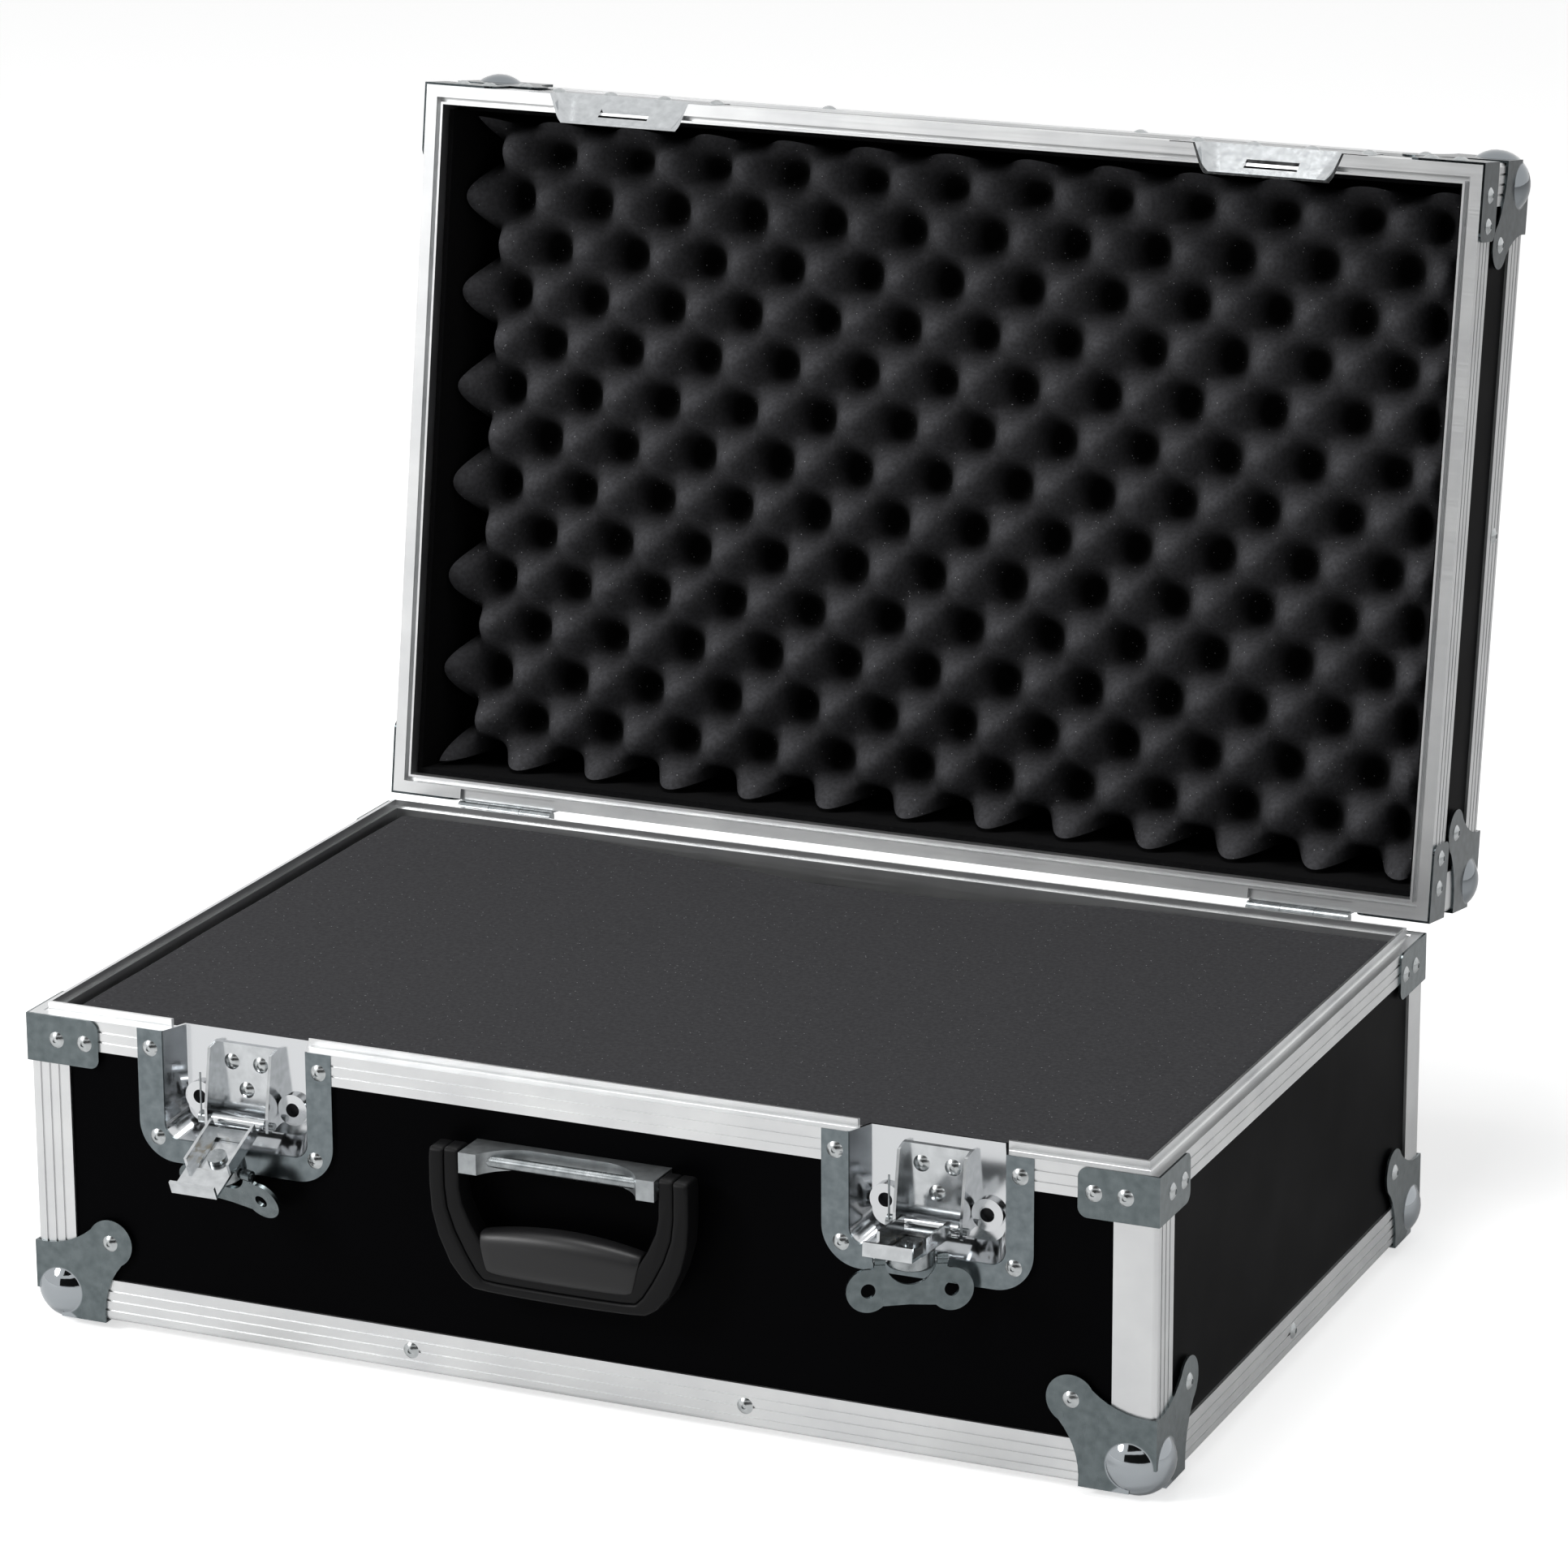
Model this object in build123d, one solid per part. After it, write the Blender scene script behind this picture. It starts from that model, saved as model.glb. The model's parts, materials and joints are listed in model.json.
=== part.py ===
"""Foam-lined equipment case: panel boxes held in aluminium edging, lid on two rear hinges,
two recessed butterfly latches and a swing-down handle.

Frame: millimetres, +X along the front from left to right, +Y to the rear, +Z up.
The origin is the centre of the bottom panel's underside; the ball corners reach below it.
The lid is modelled closed and then swung open about the hinge pins, where it is stored.
"""
from build123d import *
from math import cos, radians, sin
import os

# ---------------------------------------------------------------- case
case_length = 600.0        # over the edging, along X
case_depth = 390.0         # over the edging, along Y
base_height = 159.0        # underside of the bottom edging to the base's rim edge
lid_height = 78.0          # lid's rim edge to the top of its edging
parting_gap = 1.0          # between the two rim edges when closed
lid_open_deg = 98.8        # swing of the lid from closed to its stop
panel = 7.0                # plywood panel with laminate skin
metal = 1.5                # wall of the aluminium sections
slack = 0.1                # panel end to metal section
sheet = 1.2                # pressed steel of corners and braces

# ---------------------------------------------------------------- edging and rims
edging = 22.0              # leg of the edging angle
edging_round = 2.5         # outer corner of the angle
groove_width = 1.2
groove_depth = 0.7
groove_pitch = 5.2
base_rim_face = 16.0       # height of the base rim's outer face
lid_rim_face = 21.0        # height of the lid rim's outer face
rim_width = 10.2           # from the outer face to the inner lip
rim_lip = 1.5              # inner leg of the rim section
rim_lip_depth = 12.0       # how far the inner leg reaches down the panel
rim_web = 2.0
tongue_start = 7.0         # from the outer face to the tongue
tongue_width = 1.4
tongue_height = 4.2
groove_clear = 0.6         # lid groove to tongue, each side and above

# ---------------------------------------------------------------- corners
ball_radius = 18.0
ball_inset = 12.5          # ball centre in from each outer face
leaf_rivet = 42.0          # leaf tip centre from the corner, along each edge
leaf_tip = 12.5            # tip radius
leaf_root = 38.0           # leaf's reach along the edges
brace_length = 39.5
brace_height = 25.0
brace_round = 5.0
rivet_head = 4.2
rivet_head_height = 1.7
rivet_shank = 2.0
rivet_depth = 3.0
rivet_dimple = 1.3

# ---------------------------------------------------------------- latches
latch_x = 184.5            # latch centres left and right of the middle
dish_width = 108.0
dish_height = 68.0
dish_round = 20.0
dish_proud = 0.4           # dish flange in front of the edging faces
dish_wall = 1.2
recess_width = 80.0        # dish opening at the front
recess_height = 56.0
recess_depth = 14.0
recess_draft = 6.0         # the dish floor is this much smaller on each side
recess_round = 8.0
keeper_height = 32.0
keeper_recess = 17.0       # keeper opening above the lid's rim edge
keeper_floor = 2.5         # keeper floor above the lid's rim edge
slot_width = 29.0          # keeper slot for the claw's lip
slot_low = 5.4
slot_high = 9.8
boss_x = 26.0              # pressed rings on the dish floor, each side of the middle
boss_z = 36.0              # below the rim edge
boss_radius = 8.0
boss_hole = 3.6
boss_height = 3.0
bracket_width = 35.6
bracket_sheet = 1.5
bracket_top = 6.0          # below the rim edge
bracket_foot = 3.5         # ear below the pin
pin_below_rim = 43.5
pin_above_floor = 9.5
pin_radius = 1.9
pin_fit = 0.05             # running fit on pins
knuckle_wall = 1.4
spring_wire = 1.0
spring_wall = 1.3          # wall of the spring's coil
spring_length = 3.6        # coil's length on the pin
spring_leg = 24.0
link_width = 29.0            # over the knuckle
link_plate = 22.0
link_length = 38.0
link_sheet = 1.5
claw_width = 25.0
claw_start = 6.0
claw_length = 53.0
claw_sheet = 1.5
claw_flange = 6.0
claw_flange_length = 30.0
claw_lip = 5.5
plate_gap = 0.2
rotor_reach = 24.0         # rotor axis from the hinge pin
rotor_radius = 11.5
rotor_length = 9.0
rotor_shaft = 3.0
eccentric_radius = 5.0
eccentric_offset = 2.0
draw_stroke = 4.0          # room for the claw's slide along the rotor
wing_pivot = 9.0           # wing pivot from the claw plate
wing_pin_radius = 1.5
wing_lobe_x = 20.0
wing_lobe_drop = 15.0      # lobe hole from the wing pivot
wing_lobe_radius = 10.5
wing_hole = 3.5
wing_sheet = 2.0
wing_waist = 22.0          # lower edge of the wing's waist from its pivot
wing_arch = 12.4           # arch that clears the rotor drum
wing_ear = 17.5            # half width over the wing's ears
left_swing_deg = 113.5     # stored swing of the left claw from closed
right_swing_deg = 86.0
left_turn_deg = 10.0       # stored turn of the left wing from crosswise
right_turn_deg = -34.0

# ---------------------------------------------------------------- handle
handle_pivot_z = 121.5     # above the underside of the edging
handle_pivot_out = 11.5    # in front of the edging faces
handle_bracket_length = 104.0
handle_bracket_height = 10.5
handle_bracket_out = 19.5
handle_bracket_web = 4.0   # middle of the bracket in front of the faces
handle_block = 9.5         # end block length
handle_flat = 40.0         # flat middle of the bracket
handle_gap = 0.8           # bracket end to arm
handle_arm = 15.0
handle_thick = 14.0
handle_drop = 65.0         # pivot to the underside of the handle
handle_foot = 92.0         # width across the bottom
handle_bar = 10.0          # flat bar under the grip
handle_grip_height = 18.0
handle_pin_radius = 3.0

# ---------------------------------------------------------------- hinges
hinge_x = 230.0
hinge_width = 56.0
hinge_back = 4.3           # pin axis behind the rear faces
hinge_leaf = 24.0
hinge_sheet = 1.5
hinge_knuckle = 3.6
hinge_pin = 1.9
hinge_notch = 5.5          # cut in the rims that shows the knuckles

# ---------------------------------------------------------------- foam and lining
foam_clear = 0.5
foam_below_rim = 1.0
lid_foam_thickness = 45.0
lining_thickness = 3.0
lining_below_rim = 8.0

# ---------------------------------------------------------------- levels and faces
half_length = case_length / 2
half_depth = case_depth / 2
floor_z = -metal                            # underside of the bottom edging
base_rim_z = floor_z + base_height
lid_rim_z = base_rim_z + parting_gap
lid_top_z = lid_rim_z + lid_height
front_y = -half_depth
hinge_axis = Axis((0, half_depth + hinge_back, base_rim_z + parting_gap / 2), (1, 0, 0))
dish_floor_y = front_y + recess_depth
pin_y = dish_floor_y - pin_above_floor
pin_z = base_rim_z - pin_below_rim
LOW = (Align.CENTER, Align.CENTER, Align.MIN)


# ---------------------------------------------------------------- helpers
def block(x0, x1, y0, y1, z0, z1):
    """A box between two corners."""
    return Pos(x0, y0, z0) * Box(x1 - x0, y1 - y0, z1 - z0, align=(Align.MIN,) * 3)


def face_of(points):
    return make_face(Polyline(*points, close=True))


def along_x(outline, x0, x1):
    """Extrude an outline of (y, z) points along X."""
    plane = Plane((x0, 0, 0), x_dir=(0, 1, 0), z_dir=(1, 0, 0))
    return extrude(plane * face_of(outline), amount=x1 - x0)


def along_y(outline, y0, y1):
    """Extrude an outline of (x, z) points along Y."""
    plane = Plane((0, y1, 0), x_dir=(1, 0, 0), z_dir=(0, -1, 0))
    return extrude(plane * face_of(outline), amount=y1 - y0)


def rod(p, direction, radius, length):
    """A cylinder that starts at p."""
    return Plane(p, z_dir=direction) * Cylinder(radius, length, align=LOW)


def four_corners(shape):
    """The front-left piece and its three mirror images."""
    pair = [shape, mirror(shape, about=Plane.YZ)]
    return pair + [mirror(s, about=Plane.XZ) for s in pair]


def both_sides(shape):
    """A shape made at x = 0, at the left and at the right latch."""
    return [Pos(-latch_x, 0, 0) * shape, Pos(latch_x, 0, 0) * shape]


def solids_of(shapes):
    """All solids of a list of shapes."""
    found = []
    for shape in shapes:
        found += shape.solids()
    return found


def to_lid(shape):
    """A piece of a tray that stands on z = 0, turned over to be the closed lid."""
    return Pos(0, 0, lid_top_z) * mirror(shape, about=Plane.XY)


def swung_open(shape):
    """The closed lid's piece at the lid's stored place."""
    return shape.rotate(hinge_axis, -lid_open_deg)


def save(name, *shapes):
    """One STEP file for one named node."""
    solids = solids_of(shapes)
    export_step(solids[0] if len(solids) == 1 else Compound(solids), f"parts/{name}.step")


# ---------------------------------------------------------------- rivets
def rivet(p, direction):
    """Dome-headed blind rivet: its head stands on p, its shank goes the other way."""
    plane = Plane(p, z_dir=direction)
    ball = (rivet_head**2 + rivet_head_height**2) / (2 * rivet_head_height)
    head = Pos(0, 0, rivet_head_height - ball) * Sphere(ball)
    head &= Cylinder(rivet_head, rivet_head_height, align=LOW)
    head -= Pos(0, 0, rivet_head_height / 2) * Cylinder(rivet_dimple, ball, align=LOW)
    shank = Pos(0, 0, -rivet_depth) * Cylinder(rivet_shank, rivet_depth, align=LOW)
    return plane * (head + shank)


def rivets(places):
    return [rivet(p, direction) for p, direction in places]


def drilled(shape, places):
    """Cut the shanks' holes."""
    tools = []
    for p, direction in places:
        start = Vector(p) - Vector(direction) * (rivet_depth + slack)
        tools.append(rod(start, direction, rivet_shank, rivet_depth + 2 * slack + dish_wall))
    return shape - tools


# ---------------------------------------------------------------- edging and rims
def angle_section():
    """The edging angle's section: outer corner at the origin, plain leg along +x, grooved leg along +y."""
    section = face_of([(0, 0), (edging, 0), (edging, metal), (metal, metal), (metal, edging), (0, edging)])
    corner = section.vertices().sort_by_distance((0, 0, 0))[0]
    section = fillet(corner, edging_round)
    for i in (1, 2, 3):
        place = i * groove_pitch + groove_width / 2
        section -= Pos(0, place) * Rectangle(2 * groove_depth, groove_width)
    return section


def bottom_edging():
    """Edging along the four lower edges of a tray; the ball corners close its ends."""
    x0 = -half_length + edging
    y1 = half_depth - edging
    plane = Plane((x0, -half_depth, 0), x_dir=(0, 1, 0), z_dir=(1, 0, 0))
    front = extrude(plane * angle_section(), amount=-2 * x0)
    plane = Plane((-half_length, y1, 0), x_dir=(1, 0, 0), z_dir=(0, -1, 0))
    left = extrude(plane * angle_section(), amount=2 * y1)
    return [front, mirror(front, about=Plane.XZ), left, mirror(left, about=Plane.YZ)]


def upright_edging(height, rim_face):
    """Edging up the four corners of a tray, from the ball corners to the rim.

    It is one extrusion turned a quarter at each corner, so the front has its grooves at the left only.
    """
    length = height - rim_face - edging
    corner = (-half_length, -half_depth, edging)
    left = extrude(Plane(corner, x_dir=(0, 1, 0), z_dir=(0, 0, -1)) * angle_section(), amount=-length)
    right = extrude(Plane(corner, x_dir=(1, 0, 0), z_dir=(0, 0, 1)) * angle_section(), amount=length)
    fronts = [left, mirror(right, about=Plane.YZ)]
    return fronts + [post.rotate(Axis.Z, 180) for post in fronts]


def rim_grooves(face_height, count):
    """Places of the fine grooves down a rim's outer face."""
    return [-(i + 1) * face_height / (count + 1) for i in range(count)]


def base_rim_outline():
    """(inward, up) points of the base rim, with its tongue; the rim edge is at 0."""
    t1 = tongue_start + tongue_width
    inner = rim_width - rim_lip
    return [(0, -base_rim_face), (0, 0), (tongue_start - 1.8, 0), (tongue_start - 1.2, -0.6),
            (tongue_start - 0.6, 0), (tongue_start, 0), (tongue_start, tongue_height),
            (t1, tongue_height), (t1, 0), (rim_width, 0), (rim_width, -rim_lip_depth),
            (inner, -rim_lip_depth), (inner, -rim_web), (metal, -rim_web), (metal, -base_rim_face)]


def lid_web_depth():
    """How far below the lid's rim edge its panels start."""
    return tongue_height + groove_clear - parting_gap + rim_web + metal


def lid_rim_outline():
    """(inward, up) points of the lid rim, with the groove that takes the tongue."""
    t0 = tongue_start - groove_clear
    t1 = tongue_start + tongue_width + groove_clear
    deep = tongue_height + groove_clear
    web = lid_web_depth()
    inner = rim_width - rim_lip
    low = web + rim_lip_depth
    return [(0, -lid_rim_face), (0, 0), (t0, 0), (t0, -deep), (t1, -deep), (t1, 0), (rim_width, 0),
            (rim_width, -low), (inner, -low), (inner, -web), (metal, -web), (metal, -lid_rim_face)]


def rim_frame(outline, height, face_height, grooves):
    """Four mitred rim rails of a tray: front, rear, left, right."""
    reach = rim_width + 2
    front = along_x([(t - half_depth, z + height) for t, z in outline], -half_length, half_length)
    left = along_y([(t - half_length, z + height) for t, z in outline], -half_depth, half_depth)
    for z in rim_grooves(face_height, grooves):
        z0, z1 = height + z - groove_width / 2, height + z + groove_width / 2
        front -= block(-half_length, half_length, front_y, front_y + groove_depth, z0, z1)
        left -= block(-half_length, groove_depth - half_length, -half_depth, half_depth, z0, z1)
    mitre = [(-half_length, -half_depth), (half_length, -half_depth),
             (half_length - reach, reach - half_depth), (reach - half_length, reach - half_depth)]
    front &= extrude(face_of(mitre), amount=2 * height)
    mitre = [(-half_length, -half_depth), (reach - half_length, reach - half_depth),
             (reach - half_length, half_depth - reach), (-half_length, half_depth)]
    left &= extrude(face_of(mitre), amount=2 * height)
    return [front, mirror(front, about=Plane.XZ), left, mirror(left, about=Plane.YZ)]


# ---------------------------------------------------------------- panels
def corner_relief():
    """Panel corners cut away outside the balls' inner faces, at the bottom of a tray."""
    cube = block(-half_length, ball_inset - half_length, -half_depth, ball_inset - half_depth, 0, ball_inset)
    centre = Pos(ball_inset - half_length, ball_inset - half_depth, ball_inset)
    return four_corners(cube - centre * Sphere(ball_radius - sheet - slack))


def tray_panels(height, top):
    """Front, rear, left, right and bottom panels of a tray whose walls end at top."""
    x_out, y_out = half_length - metal, half_depth - metal
    low = metal + panel
    front = block(-x_out, x_out, -y_out, panel - y_out, low, top)
    left = block(-x_out, panel - x_out, panel - y_out, y_out - panel, low, top)
    bottom = block(-x_out, x_out, -y_out, y_out, metal, low)
    rear = mirror(front, about=Plane.XZ)
    right = mirror(left, about=Plane.YZ)
    relief = corner_relief()
    return [shape - relief for shape in (front, rear, left, right, bottom)]


# ---------------------------------------------------------------- corners and braces
def leaf(thickness):
    """One leaf of a ball corner, in the x-y plane, reaching along +x and +y from the corner."""
    c, r = leaf_rivet, leaf_tip
    side = (c + r * sin(radians(30)), c - r * cos(radians(30)))
    tip = c + r * sin(radians(45))
    bow = ((leaf_root + side[0]) / 2 - 3.0, side[1] / 2 + 1.5)
    t = thickness
    edge = [
        Polyline((-t, leaf_root), (-t, -t), (leaf_root, -t), (leaf_root, 0)),
        ThreePointArc((leaf_root, 0), bow, side),
        ThreePointArc(side, (tip, tip), side[::-1]),
        ThreePointArc(side[::-1], bow[::-1], (0, leaf_root)),
        Line((0, leaf_root), (-t, leaf_root)),
    ]
    return extrude(make_face(edge), amount=thickness)


def ball_corner():
    """Front-left ball corner of a tray that stands on z = 0."""
    flat = leaf(sheet)
    underside = Pos(0, 0, -sheet) * flat
    front = Plane((0, 0, 0), x_dir=(1, 0, 0), z_dir=(0, -1, 0)) * flat
    side = Pos(-sheet, 0, 0) * (Plane.YZ * flat)
    centre = Pos(ball_inset, ball_inset, ball_inset)
    shell = centre * Sphere(ball_radius) - centre * Sphere(ball_radius - sheet)
    size = 3 * ball_radius
    inner = Box(size, size, size, align=(Align.MIN,) * 3)
    octant = centre * Box(size, size, size, align=(Align.MAX,) * 3)
    plates = underside + front + side - octant
    cap = (shell - inner) + (shell & octant)
    whole = plates - centre * Sphere(ball_radius - sheet) + cap
    return Pos(-half_length, -half_depth, 0) * whole


def corner_rivet_places():
    """Three rivets of the front-left ball corner, on its leaves."""
    x, y, z = leaf_rivet - half_length, leaf_rivet - half_depth, leaf_rivet
    return [((x, -half_depth - sheet, z), (0, -1, 0)),
            ((-half_length - sheet, y, z), (-1, 0, 0)),
            ((x, y, -sheet), (0, 0, -1))]


def mirrored_places(places):
    """The same places in all four corners."""
    found = []
    for sx, sy in ((1, 1), (-1, 1), (1, -1), (-1, -1)):
        for (x, y, z), (u, v, w) in places:
            found.append(((x * sx, y * sy, z), (u * sx, v * sy, w)))
    return found


def rim_brace(height):
    """Front-left angle brace over the rim and the upright edging of a tray."""
    low, high = height - brace_height, height - slack
    front = block(-half_length - sheet, brace_length - half_length, front_y - sheet, front_y, low, high)
    side = block(-half_length - sheet, -half_length, front_y - sheet, front_y + brace_length, low, high)
    front = fillet(front.edges().filter_by(Axis.Y).group_by(Axis.X)[-1], brace_round)
    side = fillet(side.edges().filter_by(Axis.X).group_by(Axis.Y)[-1], brace_round)
    return front + side


def brace_rivet_places(height):
    """Two rivets in each leg of the front-left brace."""
    z = height - brace_height / 2
    found = []
    for reach in (brace_length * 0.4, brace_length * 0.8):
        found.append(((reach - half_length, front_y - sheet, z), (0, -1, 0)))
        found.append(((-half_length - sheet, reach + front_y, z), (-1, 0, 0)))
    return found


def edging_rivet_places():
    """Rivets along the lower edging: two in each long side and one in each short side."""
    z = edging / 2
    found = [((x, sy * half_depth, z), (0, sy, 0)) for x in (-90.0, 90.0) for sy in (-1, 1)]
    return found + [((sx * half_length, 0, z), (sx, 0, 0)) for sx in (-1, 1)]


# ---------------------------------------------------------------- latch dish and keeper
def rounded_frustum(grow, z_low, floor_low, z_high, back):
    """A drafted recess that runs from in front of the face to its floor, rounded at the bottom."""
    def ring(y, width, low):
        height = z_high - low
        plane = Plane((0, y, (z_high + low) / 2), x_dir=(1, 0, 0), z_dir=(0, -1, 0))
        return plane * RectangleRounded(width, height, recess_round)
    mouth = ring(front_y - dish_proud, recess_width + 2 * grow, z_low - grow)
    floor = ring(back, recess_width - 2 * recess_draft + 2 * grow, floor_low - grow)
    return loft([mouth, floor])


def dish_cavity(grow):
    """The recess of a latch dish at x = 0; grow is the wall around it."""
    low = base_rim_z - recess_height
    cavity = rounded_frustum(grow, low, low + recess_draft, base_rim_z + 30, dish_floor_y + grow)
    return cavity


def keeper_cavity(grow):
    """The recess of a keeper at x = 0, in the closed lid."""
    high = lid_rim_z + keeper_recess
    cavity = rounded_frustum(grow, -high, -(lid_rim_z + keeper_floor), 30 - lid_rim_z, dish_floor_y + grow)
    return mirror(cavity, about=Plane.XY)


def flange(width, height):
    """Flange outline of the dish at x = 0, hanging from the rim edge at z = 0."""
    points = [(-width / 2, 0), (-width / 2, -height), (width / 2, -height), (width / 2, 0)]
    plate = along_y(points, front_y - dish_proud, front_y + metal)
    ends = plate.edges().filter_by(Axis.Y).group_by(Axis.Z)[0]
    return fillet(ends, dish_round if height > keeper_height else recess_round)


def latch_dish():
    """Pressed dish at x = 0, with two ringed bosses on its floor."""
    below = block(-dish_width, dish_width, front_y - 30, front_y + 60, 0, base_rim_z)
    shell = dish_cavity(dish_wall) & below
    plate = Pos(0, 0, base_rim_z - slack) * flange(dish_width, dish_height)
    dish = shell + plate
    dish -= dish_cavity(0)
    z = base_rim_z - boss_z
    for x in (-boss_x, boss_x):
        dish += rod((x, dish_floor_y + dish_wall, z), (0, -1, 0), boss_radius, boss_height + dish_wall)
    for x in (-boss_x, boss_x):
        dish -= rod((x, dish_floor_y + 2 * dish_wall, z), (0, -1, 0), boss_hole, 4 * boss_height)
    return dish


def keeper():
    """Shallow pressed keeper at x = 0 on the closed lid, with the slot for the claw's lip."""
    above = block(-dish_width, dish_width, front_y - 30, front_y + 60, lid_rim_z, lid_rim_z + lid_height)
    shell = keeper_cavity(dish_wall) & above
    plate = Pos(0, 0, lid_rim_z + slack) * mirror(flange(dish_width, keeper_height), about=Plane.XY)
    tray = (shell + plate) - keeper_cavity(0)
    half = slot_width / 2
    low, high = lid_rim_z + slot_low, lid_rim_z + slot_high
    return tray - block(-half, half, front_y + 3.5, dish_floor_y, low, high)


def dish_rivet_places():
    """Flange rivets of the dish at x = 0."""
    y = front_y - dish_proud
    high, low = base_rim_z - 10.0, base_rim_z - dish_height + 12.0
    return [((sx * x, y, z), (0, -1, 0)) for sx in (-1, 1) for x, z in ((47.0, high), (44.0, low))]


def keeper_rivet_places():
    y = front_y - dish_proud
    z = lid_rim_z + keeper_height - 8.0
    return [((x, y, z), (0, -1, 0)) for x in (-47.0, -16.0, 16.0, 47.0)]


def bracket_rivet_places():
    """Three rivets through the latch bracket into the dish floor."""
    y = dish_floor_y - bracket_sheet
    high, low = base_rim_z - 15.5, base_rim_z - 29.5
    return [((x, y, z), (0, -1, 0)) for x, z in ((-8.0, high), (8.0, high), (0, low))]


def moved(places, dx):
    return [((x + dx, y, z), direction) for (x, y, z), direction in places]


def latch_bracket():
    """U bracket at x = 0: a base on the dish floor and two ears that hold the pin."""
    half = bracket_width / 2
    top, low = base_rim_z - bracket_top, pin_z - bracket_foot
    back = dish_floor_y - bracket_sheet
    out = pin_y - pin_radius - 2.0
    shape = block(-half, half, back, dish_floor_y, low + 2, top)
    ear = [(back, top), (pin_y + 1.5, top - 1.5), (out, pin_z + 6), (out, low + 1)]
    ear += [(out + 1, low), (back, low + 2)]
    shape += along_x(ear, -half, -half + bracket_sheet)
    shape += along_x(ear, half - bracket_sheet, half)
    return shape - rod((-half - 1, pin_y, pin_z), (1, 0, 0), pin_radius, bracket_width + 2)


def latch_pin():
    half = bracket_width / 2 + 1.5
    return rod((-half, pin_y, pin_z), (1, 0, 0), pin_radius, 2 * half)


def latch_spring():
    """Torsion spring on the pin outside the left ear: its coil and its two wire legs."""
    x0 = -bracket_width / 2 - spring_length - 0.6
    inner = pin_radius + slack
    coil = rod((x0, pin_y, pin_z), (1, 0, 0), inner + spring_wall, spring_length)
    coil -= rod((x0 - 1, pin_y, pin_z), (1, 0, 0), inner, spring_length + 2)
    y = pin_y - inner - spring_wall / 2
    leg = rod((x0 + spring_length / 2, y, pin_z), (0, 0, 1), spring_wire / 2, spring_leg)
    return coil + leg


# ---------------------------------------------------------------- latch arm, in its closed place
def closed_y(t):
    """Y of a point t outward from the pin axis when the claw is closed."""
    return pin_y - t


def plate_block(x0, x1, s0, s1, t0, t1):
    """A box of the closed claw assembly: s up from the pin, t outward."""
    return block(x0, x1, closed_y(t1), closed_y(t0), pin_z + s0, pin_z + s1)


def latch_link():
    """Link at x = 0: a knuckle on the pin and the plate that carries the rotor."""
    half = link_width / 2
    t0 = claw_sheet + plate_gap
    outer = pin_radius + pin_fit + knuckle_wall
    plate = plate_block(-link_plate / 2, link_plate / 2, 0, link_length, t0, t0 + link_sheet)
    knuckle = rod((-half, pin_y, pin_z), (1, 0, 0), outer, link_width)
    shape = plate + knuckle
    shape -= rod((-half - 1, pin_y, pin_z), (1, 0, 0), pin_radius + pin_fit, link_width + 2)
    hole = rotor_shaft + pin_fit
    return shape - rod((0, pin_y + 5, pin_z + rotor_reach), (0, -1, 0), hole, 20)


def latch_claw():
    """Claw at x = 0: a channel with two side flanges and a hooked lip at its far end."""
    half = claw_width / 2
    shape = plate_block(-half, half, claw_start, claw_length, 0, claw_sheet)
    flange_end = claw_start + claw_flange_length
    for x0 in (-half, half - claw_sheet):
        shape += plate_block(x0, x0 + claw_sheet, claw_start, flange_end, -claw_flange, claw_sheet)
    shape += plate_block(-half, half, claw_length - claw_sheet, claw_length, -claw_lip, claw_sheet)
    window = eccentric_radius + eccentric_offset + 2 * slack
    long = window + draw_stroke
    return shape - plate_block(-window, window, rotor_reach - long, rotor_reach + long, -1, claw_sheet + 1)


def latch_rotor():
    """Rotor at x = 0: drum outside the link, shaft through it and an eccentric in the claw."""
    z = pin_z + rotor_reach
    t0 = claw_sheet + plate_gap + link_sheet + plate_gap
    drum = rod((0, closed_y(t0), z), (0, -1, 0), rotor_radius, rotor_length)
    edge = drum.edges().group_by(Axis.Y)[0]
    drum = fillet(edge, 2.0)
    shaft = rod((0, closed_y(0), z), (0, -1, 0), rotor_shaft, t0 + 1)
    start = (0, closed_y(-0.8), z + eccentric_offset)
    eccentric = rod(start, (0, -1, 0), eccentric_radius, 0.8 + claw_sheet)
    hole = rod((-wing_ear, closed_y(wing_pivot), z), (1, 0, 0), wing_pin_radius, 2 * wing_ear)
    return drum + shaft + eccentric - hole


def latch_wing_pin():
    z = pin_z + rotor_reach
    return rod((-wing_ear - 0.5, closed_y(wing_pivot), z), (1, 0, 0), wing_pin_radius, 2 * wing_ear + 1)


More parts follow.
